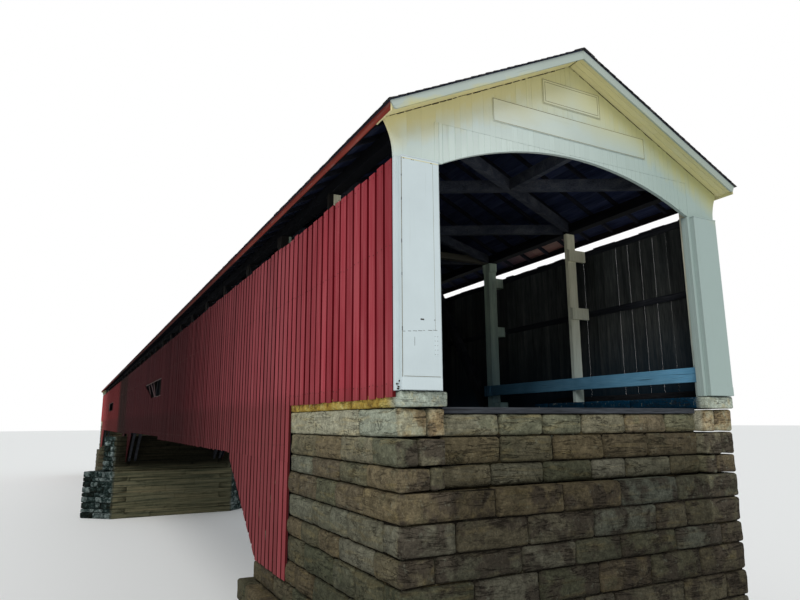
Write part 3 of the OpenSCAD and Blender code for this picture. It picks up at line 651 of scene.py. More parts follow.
def cross_point(p, d, q, e):
    """Where the line through p along d meets the line through q along e."""
    k = d[0] * e[1] - d[1] * e[0]
    t = ((q[0] - p[0]) * e[1] - (q[1] - p[1]) * e[0]) / k
    return p + d * t


def ring(m, outline, z0, z1, depth, parity, styles, place=None):
    """One course of stones round a convex plan drawn anticlockwise, with a mean length and a look for each
    side in turn; courses of other parity bond the corners."""
    pts = [np.array(p, float) for p in outline]
    n = len(pts)
    direction = [(pts[(i + 1) % n] - pts[i]) for i in range(n)]
    direction = [d / np.linalg.norm(d) for d in direction]
    inward = [np.array([-d[1], d[0]]) * depth for d in direction]
    for i in range(n):
        a, d, w = pts[i], direction[i], inward[i]
        before, after = (i - 1) % n, (i + 1) % n
        ends = []
        for other, corner, own in (
            (before, pts[i], (i + parity) % 2 == 0),
            (after, pts[after], (after + parity) % 2 == 1),
        ):
            base = corner if own else corner + inward[other]
            ends.append(cross_point(a, d, base, direction[other]) if not own else corner)
            ends.append(cross_point(a + w, d, base, direction[other]))
        start, start_in, end, end_in = ends
        length = (end - start) @ d
        mean, look = styles[i % len(styles)]
        count = max(1, round(length / mean))
        cuts = [0.0] + [(k + m.rng.uniform(-0.28, 0.28)) / count for k in range(1, count)] + [1.0]
        for k in range(count):
            p0, p1 = start + d * length * cuts[k], start + d * length * cuts[k + 1]
            q0 = start_in if k == 0 else p0 + w
            q1 = end_in if k == count - 1 else p1 + w
            stone(m, (p0, p1, q1, q0), z0, z1, place=place, **look)


def rectangle(x, y0, y1):
    return [(-x, y0), (x, y0), (x, y1), (-x, y1)]


def courses(rng, z0, z1, mean):
    count = max(1, round((z1 - z0) / mean))
    cuts = [k + (rng.uniform(-0.16, 0.16) if 0 < k < count else 0) for k in range(count + 1)]
    return [z0 + (z1 - z0) * c / count for c in cuts]


ROUGH = dict(radius=5 * MM, bulge=3.6 * MM, joint=0.5 * MM, nu=9, nw=6, chip=3.4 * MM)
SPLIT = dict(radius=4.5 * MM, bulge=4 * MM, joint=0.25 * MM, nu=15, nw=8, chip=4 * MM)
DRESSED = dict(radius=2.5 * MM, bulge=1.2 * MM, joint=0.15 * MM, nu=12, nw=6, chip=1.5 * MM)
LAYERED = dict(radius=1.8 * MM, bulge=1.5 * MM, joint=0.05 * MM, nu=22, nw=4, chip=3.5 * MM)
RUBBLE = dict(radius=6 * MM, bulge=5 * MM, joint=0.4 * MM, nu=6, nw=5, chip=6 * MM)
LEDGE = 25 * MM


def abutment(name, node, seed, place):
    m = Mesh(seed)
    inset = 6 * MM
    side = WALL_IN
    cap_in = 239.5 * MM

    def core(lo, hi):
        plank(m, lo, hi, mat=1, place=place, tint=0.5)

    core((-side - LEDGE + inset, -END + inset, 0), (side + LEDGE - inset, RIVER_FACE + LEDGE - inset, STAGE - inset))
    core((-side + inset, -END + inset, STAGE - inset), (side - inset, RIVER_FACE - inset, SEAT - 2 * MM))
    core((-cap_in + 2 * MM, -END + 21 * MM, SEAT - 2 * MM), (cap_in - 2 * MM, WING_END - inset, deck_lo.z - MM))
    stage = courses(m.rng, 0, STAGE, 41 * MM)
    for k in range(len(stage) - 1):
        outline = rectangle(side + LEDGE, -END, RIVER_FACE + LEDGE)
        ring(m, outline, stage[k], stage[k + 1], 60 * MM, k, [(104 * MM, ROUGH)], place)
    upper = courses(m.rng, STAGE, SEAT, 36 * MM)
    for k in range(len(upper) - 1):
        depth = (140 if k == len(upper) - 2 else 50) * MM
        ring(m, rectangle(side, -END, RIVER_FACE), upper[k], upper[k + 1], depth, k, [(96 * MM, ROUGH)], place)
    # Wings above the bridge seat, and the wall between them
    wing = [SEAT, 539 * MM, 574 * MM, CAP_UNDER]
    colours = ((0.15, 0.7, 0.0, 0.5), (0.82, 0.3, 0.1, 0.65), (0.42, 0.95, 0.5, 0.9))
    for k in range(3):
        z0, z1 = wing[k], wing[k + 1]
        for s in (-1, 1):
            cuts = [0.0] + [c * MM for c in ((96, 190, 305), (78, 186, 290), (122, 300))[k]] + [WING_END + END]
            for j in range(len(cuts) - 1):
                y0, y1 = -END + cuts[j], -END + cuts[j + 1]
                split = (262, 278, 266)[k] * MM
                bands = ((split, side), (cap_in, split)) if j == 0 else ((cap_in, side),)
                for i, (inner, outer) in enumerate(bands):
                    foot = [(s * outer, y0), (s * outer, y1), (s * inner, y1), (s * inner, y0)]
                    tint = colours[k][(j + i) % 4] + m.rng.uniform(-0.04, 0.04)
                    stone(m, foot, z0, z1, place=place, tint=tint, **(DRESSED if k == 2 and j > 0 else SPLIT))
        x = -cap_in
        while x < cap_in - MM:
            step = m.rng.uniform(62, 96) * MM
            x1 = cap_in if cap_in - x - step < 45 * MM else x + step
            for y, w in ((-END + 15 * MM, 40 * MM), (WING_END, -40 * MM)):
                stone(m, [(x, y), (x1, y), (x1, y + w), (x, y + w)], z0, min(z1, deck_lo.z), place=place, **ROUGH)
            x = x1
    return m.build(name, [LIMESTONE, MORTAR], "stone", [node], smooth=True)


def capstones():
    m = Mesh(5)
    cap_in = cap_lo.x if cap_lo.x > 0 else 239.5 * MM
    for place in (KEEP_PLACE, MIRROR_Y):
        for s in (-1, 1):
            cuts = [cap_lo.y]
            for step in (148, 120, 96):
                cuts.append(cuts[-1] + (step + m.rng.uniform(-12, 12)) * MM)
            cuts[-1:] = [WING_END] if WING_END - cuts[-1] < 40 * MM else [cuts[-1], WING_END]
            for y0, y1 in zip(cuts, cuts[1:]):
                foot = [(s * WALL_IN, y0), (s * WALL_IN, y1), (s * cap_in, y1), (s * cap_in, y0)]
                stone(m, foot, CAP_UNDER, CAP, 3 * MM, 1.2 * MM, 0.3 * MM, 9, 5, place=place, chip=1.1 * MM)
    return m.build("cap_stones", [CAPSTONE], "stone", ["capstones"], smooth=True)


def pointed(half, nose, t):
    return [(-half, -t), (half, -t), (nose, 0), (half, t), (-half, t), (-nose, 0)]


def pier():
    m = Mesh(9)
    inset = 7 * MM
    half, t, nose, foot_nose = 350 * MM, 130 * MM, 440 * MM, pier_hi.x
    for grow, tip, z0, z1 in ((LEDGE, foot_nose, 0, STAGE), (0, nose, STAGE, SEAT)):
        outline = pointed(half + grow - inset, tip - 2 * inset, t + grow - inset)
        extrude(m, outline, max(0, z0 - inset), z1 - (2 * MM if z1 == SEAT else inset), "XY", 0, 0.5, 1)
        rows = courses(m.rng, z0, z1, 31 * MM)
        for k in range(len(rows) - 1):
            depth = (118 if z1 == SEAT and k == len(rows) - 2 else 60) * MM
            side, point = (290 * MM, LAYERED), (52 * MM, RUBBLE)
            ring(m, pointed(half + grow, tip, t + grow), rows[k], rows[k + 1], depth, k, [side, point, point])
    return m.build("pier_stones", [LIMESTONE, MORTAR], "stone", ["pier"], smooth=True)


# Walls

OPEN_SLITS = {2: 0.27, 3: 0.34, 4: 0.35, 5: 0.37, 6: 0.39, 9: 0.42}  # in the right walls, by board, in mm


def board_row(side):
    """Width, number and spacing of the boards in one wall; those of the right walls are wider."""
    width = (30.5 if side > 0 else 25.5) * MM
    count = round((END - 6 * MM) / width)
    return width, count, (END - 6 * MM) / count


def wall_board(m, y0, z0, z1, side, place, width, number, foot_slope=0.0, tops=2.0, feet=0.8, seam=False):
    """One upright board: a proud face, and a thin tongue that may leave a slit before the next board."""
    rng = m.rng
    back, front = WALL_IN, WALL_OUT - rng.uniform(0, 0.5) * MM
    tongue = back + 0.35 * MM
    slit = rng.choice((0.4, 0.46, 0.52, 0.58)) * MM
    if side > 0:
        slit = OPEN_SLITS.get(number, 0) * MM
    ya, yb = y0 + 0.05 * MM, y0 + width - slit
    lead = 3.3 * MM
    fa, fb = y0 + lead + rng.uniform(-0.5, 0.5) * MM, y0 + width - lead + rng.uniform(-0.5, 0.5) * MM
    c = 0.15 * MM
    profile = [
        (back, ya), (tongue, ya), (tongue, fa), (front - c, fa), (front, fa + c),
        (front, fb - c), (front - c, fb), (tongue, fb), (tongue, yb), (back, yb),
    ]
    n = len(profile)
    skew = rng.uniform(-0.6, 0.6) * MM
    rows = []
    for end, z in ((0, z0), (1, z1)):
        loose = tops if end else feet
        ragged = 0 if seam and end == 1 else rng.uniform(-loose, loose) * MM
        for x, y in profile:
            drop = foot_slope * (y - y0) if end == 0 else skew * (y - y0) / width
            rows.append((side * x, y, z + ragged + drop))
    faces = [(i, (i + 1) % n, (i + 1) % n + n, i + n) for i in range(n)]
    faces += [tuple(range(n))[::-1], tuple(range(n, 2 * n))]
    if side < 0:
        faces = [f[::-1] for f in faces]
    # The recess sides take the red in painted shade
    mats = [2 if i in (0, 8, 9) else 1 if i in (1, 2, 6, 7) else 0 for i in range(n)] + [0, 0]
    m.add(rows, faces, 2, None, mats, place)


def skirt_foot(mid):
    """Height and slope of a skirt board's lower end, or None where there is no skirt."""
    toe = RIVER_FACE - 25 * MM
    low = SKIRT_FOOT + max(0, mid - toe) * SLOPE_SKIRT
    slope = SLOPE_SKIRT if mid > toe else 0
    if low > SPAN_FOOT - 4 * MM:
        low = SKIRT_FOOT + 18 * MM + (-130 * MM - mid) * SLOPE_SKIRT
        slope = -SLOPE_SKIRT
    if mid < WING_END or mid > -130 * MM or low > SPAN_FOOT - 4 * MM:
        return None
    return low, slope


def siding(name, node, side, place, seed, window, sill, step):
    """The boards of one wall over one span, cut round the window."""
    m, trim = Mesh(seed), Mesh(seed + 1)
    wall_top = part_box(node)[1].z
    sill_z, head_z = CAP + 83 * MM, CAP + 161 * MM
    w0, w1 = SPAN_MID + window[0], SPAN_MID + window[1]
    width, count, pitch = board_row(side)
    skirt_y = -(130 + (SPAN_FOOT - SKIRT_FOOT - 18 * MM) / SLOPE_SKIRT / MM) * MM
    for k in range(count):
        y = -END + 6 * MM + k * pitch
        mid = y + width / 2
        foot = WALL_FOOT if mid < WING_END else SPAN_FOOT
        if step and SPAN_MID < mid < skirt_y:
            foot += step
        if w0 < mid < w1:
            low_top = sill_z
            if mid > w0 + sill:
                low_top += (head_z - sill_z) * (mid - w0 - sill) / (w1 - w0 - sill)
            wall_board(m, y, foot, low_top, side, place, width, k, tops=1.8)
            if head_z - low_top > 0:
                wall_board(m, y, head_z, wall_top, side, place, width, k, tops=1.6)
        else:
            over_skirt = foot == SPAN_FOOT and skirt_foot(mid) is not None
            feet = 0 if over_skirt else 0.8 if foot > SPAN_FOOT else 1.6
            wall_board(m, y, foot, wall_top, side, place, width, k, feet=feet)
    # Bare boards that edge the window
    x0, x1 = WALL_IN - 3 * MM, WALL_IN + 0.4 * MM
    ends = [(w0, w0 + sill, sill_z - 3 * MM, sill_z + 3 * MM), (w0, w1, head_z - 3 * MM, head_z + 4 * MM)]
    for a, b, za, zb in ends:
        plank(trim, (side * x0, a, za), (side * x1, b, zb), 1, place=place, tint=0.4)
    if sill < WINDOW:
        # Loose slats hang across the broken window, behind the boards
        for at, lean, w in ((0.66, -0.30, 30 * MM), (0.82, -0.24, 22 * MM), (0.50, -0.16, 16 * MM)):
            a = w0 + at * (w1 - w0)
            b = a + lean * (w1 - w0)
            outline = [(a, head_z), (a + w, head_z), (b + w, sill_z - MM), (b, sill_z - MM)]
            extrude(trim, outline, *sorted((side * (x0 - 1.5 * MM), side * (x0 - 0.2 * MM))), "YZ", 2, 0.6, 1, place=place)
    for y in (w0, w1):
        low = sill_z if y == w0 or sill == WINDOW else head_z - 22 * MM
        plank(trim, (side * x0, y - 3 * MM, low), (side * x1, y + 3 * MM, head_z), 2, place=place, tint=0.7)
    m.build(name, [RED, RED_RECESS_SHADE, INNER_WALL], "red_paint", [node])
    return trim


def skirt_boards():
    """The wall boards that run on below the walls, over the ends of the arches."""
    m = Mesh(31)
    for place in (KEEP_PLACE, MIRROR_Y):
        for side in (-1, 1):
            width, count, pitch = board_row(side)
            for k in range(count):
                y = -END + 6 * MM + k * pitch
                found = skirt_foot(y + width / 2)
                if not found:
                    continue
                low, slope = found
                low -= slope * width / 2
                wall_board(m, y, low, SPAN_FOOT, side, place, width, k, foot_slope=slope, seam=True)
    return m.build("skirt_boards", [RED, RED_RECESS_SHADE, INNER_WALL], "red_paint", ["skirts"])


# Portal


def roof_z(peak, x):
    return peak - SLOPE * abs(x)


def arc_points(half, rise, x):
    r = (half * half + rise * rise) / (2 * rise)
    return rise - r + math.sqrt(max(r * r - x * x, 0))


def gable(name, node, seed, place):
    """Upright boards cut to the arch, the slopes and the curved sides."""
    m = Mesh(seed)
    front, back = -END, -PORTAL_BACK
    joint_z = 990 * MM

    def board(xs, low, high, groove, tint=None):
        """A board between two x values, with low and high given as functions of x."""
        x0, x1 = xs
        g = groove
        cut = [(x0, 0), (x0 + g, 1), (x1 - g, 1), (x1, 0)]
        drop = m.rng.uniform(0, 0.25) * MM
        verts = []
        for edge in (low, high):
            for x, proud in cut:
                verts.append((x, front + drop + (0 if proud else g), edge(x)))
            verts += [(x1, back, edge(x1)), (x0, back, edge(x0))]
        faces = [(i, (i + 1) % 6, (i + 1) % 6 + 6, i + 6) for i in range(6)]
        faces += [tuple(range(6))[::-1], tuple(range(6, 12))]
        m.add(verts, faces, 2, tint, 0, place)

    def arch(x):
        return SPRING + (arc_points(CLEAR, ARCH_RISE, x) if abs(x) < CLEAR else 0)

    def joint(x):
        return joint_z

    edge_x = 247 * MM
    width = 9.88 * MM
    count = round(2 * edge_x / width)
    width = 2 * edge_x / count
    gap = 0.35 * MM
    for k in range(count):
        x0, x1 = -edge_x + k * width, -edge_x + (k + 1) * width
        ragged = m.rng.uniform(0.5, 1.7) * MM

        def top(x):
            return roof_z(SOFFIT_PEAK, x) - ragged

        if top((x0 + x1) / 2) > joint_z + 3 * MM:
            board((x0, x1), arch, lambda x: joint_z - gap, 0.55 * MM)
            board((x0, x1), joint, top, 0.4 * MM if m.rng.random() < 0.12 else 0.06 * MM)
        else:
            board((x0, x1), arch, top, 0.55 * MM)
    # Wide boards at the corners; the outermost one has the curved side
    flare_r = ((SOFFIT_END - SPRING) ** 2 + (SOFFIT_HALF - WALL_OUT) ** 2) / (2 * (SOFFIT_HALF - WALL_OUT))
    for s in (-1, 1):
        for a, b in ((edge_x, 270 * MM), (270 * MM, 292 * MM)):
            x0, x1 = sorted((s * a, s * b))
            ragged = m.rng.uniform(0.5, 1.6) * MM
            board((x0, x1), lambda x: SPRING, lambda x: roof_z(SOFFIT_PEAK, x) - ragged, 0.12 * MM)
        steps = 9
        outline = [(s * 292 * MM, SPRING)]
        for i in range(steps + 1):
            z = SPRING + (SOFFIT_END - SPRING) * i / steps
            x = WALL_OUT + flare_r - math.sqrt(flare_r**2 - (z - SPRING) ** 2)
            outline.append((s * x, z - (0.8 * MM if i == steps else 0)))
        outline.append((s * 292 * MM, roof_z(SOFFIT_PEAK, 292 * MM) - 0.8 * MM))
        extrude(m, outline, front + 0.2 * MM, back, "XZ", 2, place=place)
    # Narrow strips that cover the board ends beside the opening
    for x, w in ((-250 * MM, 6 * MM), (-243 * MM, 5 * MM), (226 * MM, 6 * MM)):
        plank(m, (x, front - 0.6 * MM, arch(x) + MM), (x + w, front + MM, joint_z), 2, 0.3 * MM, place=place)
    # The joint under the soffit has opened: in dashes on the left, in one thin line on the right
    for s in (-1, 1):
        slope_side = place @ at_peak(SOFFIT_PEAK, s)
        at, reach = 10 * MM, SOFFIT_HALF / math.cos(PITCH) - 4 * MM
        while at < reach:
            length = m.rng.uniform(5, 15) * MM
            tall = m.rng.uniform(0.5, 1.7) * MM if s < 0 else m.rng.choice((0.5, 0.6, 0.6, 1.4)) * MM
            end = min(at + length, reach)
            plank(m, (at, front - 0.12 * MM, -tall), (end, front + MM, 0), 0, 0.2 * MM, mat=1, place=slope_side)
            at = end + (m.rng.uniform(0.3, 7) * MM if s < 0 else 0)
    return m.build(name, [WHITE, CRACK], "white_paint", [node])


def pilasters(name, node, seed, place):
    m = Mesh(seed)
    w, d, lip = 27.5 * MM, 8.5 * MM, 1 * MM
    mid = (CLEAR + WALL_OUT) / 2
    front = -END - d
    for s in (-1, 1):

        def part(x0, x1, y0, y1, z0, z1, bevel=0.4 * MM, jitter=0.0):
            plank(m, (s * x0, y0, z0), (s * x1, y1, z1), 2, bevel, place=place, jitter=jitter)

        part(CLEAR, WALL_OUT, -END, -PORTAL_BACK, CAP, SPRING)
        part(CLEAR, CLEAR + 4 * MM, -PORTAL_BACK, pilaster_hi.y if pilaster_hi.y < 0 else -END + 13 * MM, CAP, SPRING)
        part(mid - w, mid + w, front + 0.3 * MM, -END, CAP + MM, SPRING - 1.5 * MM)
        part(mid - w - 0.4 * MM, mid + w + 0.4 * MM, front, -END, CAP + 0.6 * MM, CAP + 14.5 * MM)
        part(mid - w - lip, mid + w + 0.3 * MM, front - 0.3 * MM, -END, SPRING - 1.9 * MM, SPRING - 0.4 * MM)
    if place == KEEP_PLACE:
        # Marks on the left one: an open joint with stains, a nailed plate, a split and a rotten corner. Thin lines
        # along the box's edges and over the base are painted shadow lines, and a cream strip under the crown is painted
        # bounce light.
        def mark(x0, x1, z0, z1, mat=1, proud=0.15):
            plank(m, (x0, front + (0.3 - proud) * MM, z0), (x1, front + MM, z1), 0, 0.05 * MM, mat=mat, place=place)

        mark(-0.2795, -0.2745, 0.7163, 0.7180)
        mark(-0.2597, -0.2585, 0.7166, 0.7178)
        for k in range(7):
            x = -0.3044 + k * 0.0071
            mark(x, x + m.rng.uniform(2, 6) * MM, 0.7006 + k * 0.0006, 0.7011 + k * 0.0006, proud=0.12)
        mark(-0.2883, -0.2879, 0.684, 0.6945, proud=0.1)
        mark(-0.2604, -0.2550, 0.6722, 0.6988, 0, 0.35)
        for k in range(5):
            for x in (-0.2598, -0.2561):
                mark(x, x + 0.7 * MM, 0.6738 + k * 0.0056, 0.6745 + k * 0.0056, 1, 0.5)
        # Painted shadow lines along the box's edges and over the base
        mark(-0.3050, -0.3046, CAP + 16 * MM, SPRING - 4 * MM, 2, 0.2)
        mark(-0.2587, -0.2584, 0.704, SPRING - 6 * MM, 2, 0.1)
        mark(-0.3030, -0.2520, 0.6466, 0.6470, 2, 0.35)
        # Painted bounce light under the crown
        mark(-0.3040, -0.2500, SPRING - 5.2 * MM, SPRING - 4.4 * MM, 3, 0.3)
        for z in (0.702, 0.7705, 0.812, 0.868, 0.9):
            mark(-0.3052, -0.3045, z, z + m.rng.uniform(2, 5) * MM, 1, 0.25)
        for x in (-0.3025, -0.2905, -0.288, -0.262):
            mark(x, x + m.rng.uniform(1, 3) * MM, SPRING - 5.8 * MM, SPRING - 5.1 * MM, 1, 0.3)
        for k in range(9):
            x, z = m.rng.uniform(-0.3100, -0.3050), m.rng.uniform(0.6305, 0.641)
            plank(m, (x, -END - 1.5 * MM, z), (x + m.rng.uniform(1, 2.4) * MM, -END + MM, z + m.rng.uniform(0.6, 2.2) * MM), 0, 0.2 * MM, mat=1 - k % 3 // 2, place=place)
    return m.build(name, [PILASTER_WHITE, CRACK, OUTLINE_AND_SHADOW_LINE, SOFFIT_BOUNCE_CREAM], "white_paint", [node])


def slope_place(side, end):
    """Local axes of one roof slope: down the slope, along the bridge, off the roof. The origin is the ridge."""
    m = Matrix(
        (
            (side * math.cos(PITCH), 0, side * math.sin(PITCH), 0),
            (0, end, 0, 0),
            (-math.sin(PITCH), 0, math.cos(PITCH), 0),
            (0, 0, 0, 1),
        )
    )
    return m


def at_peak(peak, side, end=1):
    return Matrix.Translation((0, 0, peak)) @ slope_place(side, end)


def rake(name, node, seed, end):
    """The white board that closes each slope at the portal, in two lengths a side."""
    m = Mesh(seed)
    y0, y1 = rake_lo.y, rake_hi.y
    peak = ROOF_PEAK
    depth = (ROOF_PEAK - (SOFFIT_PEAK - 4 * MM)) * math.cos(PITCH)
    reach = eave_hi.x / math.cos(PITCH)
    for side in (-1, 1):
        place = at_peak(peak, side, end)
        cut = reach * m.rng.uniform(0.42, 0.55)
        lap = depth * SLOPE
        for a, b in ((0.0, cut), (cut + 0.25 * MM, reach)):
            verts = [(a, -depth), (b, -depth), (b, -0.2 * MM), (a, -0.2 * MM)]
            if a == 0.0:
                verts[0] = (lap, -depth)
            if b == reach:
                verts[1:2] = [(b - 4 * MM, -depth), (b - 1.2 * MM, -depth + 1.2 * MM), (b, -depth + 4 * MM)]
            off = m.rng.uniform(0, 0.3) * MM
            extrude(m, verts, y0 + off, y1, "XZ", 0, place=place)
    return m.build(name, [RAKE_WHITE], "white_paint", [node])


def soffit(name, node, seed, end):
    """Soffit boards that run up the slopes, with an open crack against the gable."""
    m = Mesh(seed)
    y0, y1 = rake_hi.y, -END
    t = 2 * MM * math.cos(PITCH)
    reach = (eave_hi.x - 3 * MM) / math.cos(PITCH)
    rows = 3
    width = (y1 - y0) / rows
    for side in (-1, 1):
        place = at_peak(SOFFIT_PEAK, side, end)
        for k in range(rows):
            a, b = y0 + k * width + 0.15 * MM, y0 + (k + 1) * width - 0.15 * MM
            cuts = [t * SLOPE, reach * m.rng.uniform(0.3, 0.7), reach]
            for c0, c1 in zip(cuts, cuts[1:]):
                plank(m, (c0, a, 0), (c1 - 0.2 * MM, b, t), 0, 0.25 * MM, place=place)
    # The part over the wall boards, behind the gable's face
    for side in (-1, 1):
        place = at_peak(SOFFIT_PEAK, side, end)
        plank(m, (t * SLOPE, y1 + 0.3 * MM, 0), (reach, -PORTAL_BACK, t), 0, 0.2 * MM, place=place)
    return m.build(name, [SOFFIT_BOUNCE_CREAM], "white_paint", [node])


def signs():
    """Two bare boards on each gable: a long one in one dark line, and a small one in two."""
    m = Mesh(77)
    t = 1.2 * MM
    boards = ((152 * MM, CAP + 384 * MM, 36 * MM, (0.6,)), (58 * MM, CAP + 434 * MM, 41 * MM, (0.6, 4.4)))
    for place in (KEEP_PLACE, MIRROR_Y):
        for half, z, tall, lines in boards:
            plank(m, (-half, -END - t, z), (half, -END, z + tall), 0, 0.3 * MM, place=place, tint=0.5)
            for inset in (i * MM for i in lines):
                x, a, b, w = half - inset, z + inset, z + tall - inset, 0.7 * MM
                y = (-END - t - 0.12 * MM, -END - t + 0.1 * MM)
                for lo, hi, grain in (
                    ((-x, y[0], a), (x, y[1], a + w), 0),
                    ((-x, y[0], b - w), (x, y[1], b), 0),
                    ((-x, y[0], a + w), (w - x, y[1], b - w), 2),
                    ((x - w, y[0], a + w), (x, y[1], b - w), 2),
                ):
                    plank(m, lo, hi, grain, 0.05 * MM, mat=1, place=place)
    return m.build("bare_sign_boards", [SIGN_WHITE, OUTLINE_AND_SHADOW_LINE], "white_paint", ["sign_boards"])


# Roof


def shingles(name, node, seed, side):
    """Roof boards below, and above them courses of split shingles with uneven butts."""
    m = Mesh(seed)
    place = at_peak(ROOF_PEAK, side)
    reach = roof_hi.x / math.cos(PITCH)
    y0, y1 = roof_lo.y, roof_hi.y
    board_t = 1.2 * MM
    s = 3 * MM
    while s < reach - 6 * MM:
        width = min(m.rng.uniform(17, 24) * MM, reach - 3 * MM - s)
        y = y0 + 3 * MM
        while y < y1 - 4 * MM:
            y_next = min(y + m.rng.uniform(320, 520) * MM, y1 - 3 * MM)
            if y1 - y_next < 60 * MM:
                y_next = y1 - 3 * MM
            plank(m, (s, y, 0.05 * MM), (s + width - 0.6 * MM, y_next - 0.4 * MM, board_t), 1, 0.2 * MM, mat=1, place=place)
            y = y_next
        s += width
    exposure = 14.2 * MM
    rows = math.ceil(reach / exposure)
    exposure = reach / rows
    for r in range(rows):
        s1 = exposure * (r + 1)
        s0 = max(0.0, s1 - exposure * 1.3)
        y = y0
        while y < y1 - 0.5 * MM:
            width = m.rng.uniform(11, 24) * MM
            if y1 - y - width < 6 * MM:
                width = y1 - y
            a, b = y + 0.15 * MM, y + width - 0.15 * MM
            butt = s1 + m.rng.uniform(-0.9, 0.5) * MM
            thick = m.rng.uniform(0.9, 1.5) * MM
            verts = [
                (s0, a, board_t), (s0, b, board_t), (butt, b, board_t), (butt, a, board_t),
                (s0, a, board_t + 0.25 * MM), (s0, b, board_t + 0.25 * MM),
                (butt, b, board_t + thick), (butt, a, board_t + thick),
            ]
            faces = [(0, 1, 2, 3), (4, 7, 6, 5), (0, 4, 5, 1), (3, 2, 6, 7), (0, 3, 7, 4), (1, 5, 6, 2)]
            m.add(verts, faces, 0, None, 0, place)
            y += width
    return m.build(name, [SHINGLE, SHEATHING], "shingles", [node])


def ridge():
    """Overlapping ridge shingles, laid in pairs."""
    m = Mesh(51)
    base = 2.7 * MM
    y0, y1 = roof_lo.y, roof_hi.y
    step = 14.3 * MM
    count = round((y1 - y0) / step)
    step = (y1 - y0) / count
    for k in range(count):
        a = y0 + k * step
        b = min(a + step * 1.35, y1)
        lift = (0.4 + 0.7) * MM
        for side in (-1, 1):
            place = at_peak(ROOF_PEAK + base - 0.3 * MM, side)
            w = (20 + m.rng.uniform(-1.2, 0.8)) * MM / math.cos(PITCH)
            verts = [
                (0, a, -0.3 * MM), (w, a, -0.3 * MM), (w, b, -0.3 * MM), (0, b, -0.3 * MM),
                (0, a, lift), (w, a, lift), (w, b, 0.1 * MM), (0, b, 0.1 * MM),
            ]
            faces = [(3, 2, 1, 0), (4, 5, 6, 7), (0, 1, 5, 4), (2, 3, 7, 6), (1, 2, 6, 5), (3, 0, 4, 7)]
            m.add(verts, faces, 0, None, 0, place)
    return m.build("ridge_shingles", [SHINGLE], "shingles", ["ridge_cap"])


def eaves():
    """Red boards along both eaves, in lengths, with a beveled lower edge."""
    m = Mesh(61)
    y0, y1 = eave_lo.y, eave_hi.y
    for s in (-1, 1):
        y = y0
        while y < y1 - MM:
            y_next = y + m.rng.uniform(380, 480) * MM
            if y1 - y_next < 150 * MM:
                y_next = y1
            top = eave_hi.z - 1.6 * MM
            off = m.rng.uniform(0, 0.35) * MM
            x0, x1 = eave_hi.x - 3 * MM, eave_hi.x - off
            low = eave_lo.z + m.rng.uniform(0, 0.6) * MM
            # A red face over a back that is near black as painted shade, and cream as painted bounce light within the
            # portal's overhang
            plank(m, (s * (x1 - 0.7 * MM), y, low), (s * x1, y_next - 0.3 * MM, top), 1, 0.2 * MM)
            cream = END - 14 * MM
            cuts = sorted({y, y_next - 0.3 * MM, *(c for c in (-cream, cream) if y < c < y_next)})
            for a, b in zip(cuts, cuts[1:]):
                mat = 2 if abs(a + b) / 2 > cream else 1
                plank(m, (s * x0, a, low - 0.3 * MM), (s * (x1 - 0.7 * MM), b, top), 1, 0.1 * MM, mat=mat)
            y = y_next
    return m.build("red_eave_boards", [EAVE_RED, EAVE_BACK_SHADE, SOFFIT_BOUNCE_CREAM], "red_paint", ["eave_boards"])


# Floor and small parts


def floor_planks():
    """Planks laid across the floor beams, worn and a little uneven."""
    m = Mesh(71)
    y = deck_lo.y
    while y < deck_hi.y - MM:
        width = m.rng.uniform(23, 29) * MM
        if deck_hi.y - y - width < 12 * MM:
            width = deck_hi.y - y
        over_wing = abs(y + width / 2) > -WING_END
        half = (237.5 if over_wing else 243.6) * MM - m.rng.uniform(0, 1.2) * MM
        top = deck_hi.z - m.rng.uniform(0, 0.6) * MM
        plank(m, (-half, y + 0.3 * MM, deck_lo.z), (half, y + width - 0.3 * MM, top), 0, 0.6 * MM)
        y += width
    return m.build("floor_boards", [DECKING], "floor_timber", ["deck"])


def bolts():
    """Square washers and nuts where the arch ribs clamp the posts."""
    m = Mesh(81)
    river, face = RIVER_FACE, -130 * MM
    mid, half = (river + face) / 2, (face - river) / 2
    rise = 530 * MM
    r = (half * half + rise * rise) / (2 * rise)
    for k in range(13):
        y = FIRST_POST + PANEL * k
        if abs(y - mid) >= half:
            continue
        z = 900 * MM - r + math.sqrt(r * r - (y - mid) ** 2)
        if z < CAP + 8 * MM:
            continue
        for place in (KEEP_PLACE, MIRROR_Y, MIRROR_X, MIRROR_X @ MIRROR_Y):
            for dz in (-7 * MM, 7 * MM):
                for x, out in ((rib_lo.x, -1), (rib_hi.x, 1)):
                    a, b = x, x + out * 0.9 * MM
                    plank(m, (a, y - 3.5 * MM, z + dz - 3.5 * MM), (b, y + 3.5 * MM, z + dz + 3.5 * MM), 1, 0.2 * MM, place=place)
                    nut = [
                        (y + 2.1 * MM * math.cos(t), z + dz + 2.1 * MM * math.sin(t))
                        for t in (i * math.pi / 3 for i in range(6))
                    ]
                    extrude(m, nut, *sorted((b, b + out * 1.6 * MM)), "YZ", 0, place=place)
    return m.build("arch_bolts", [IRON], "dark_timber")


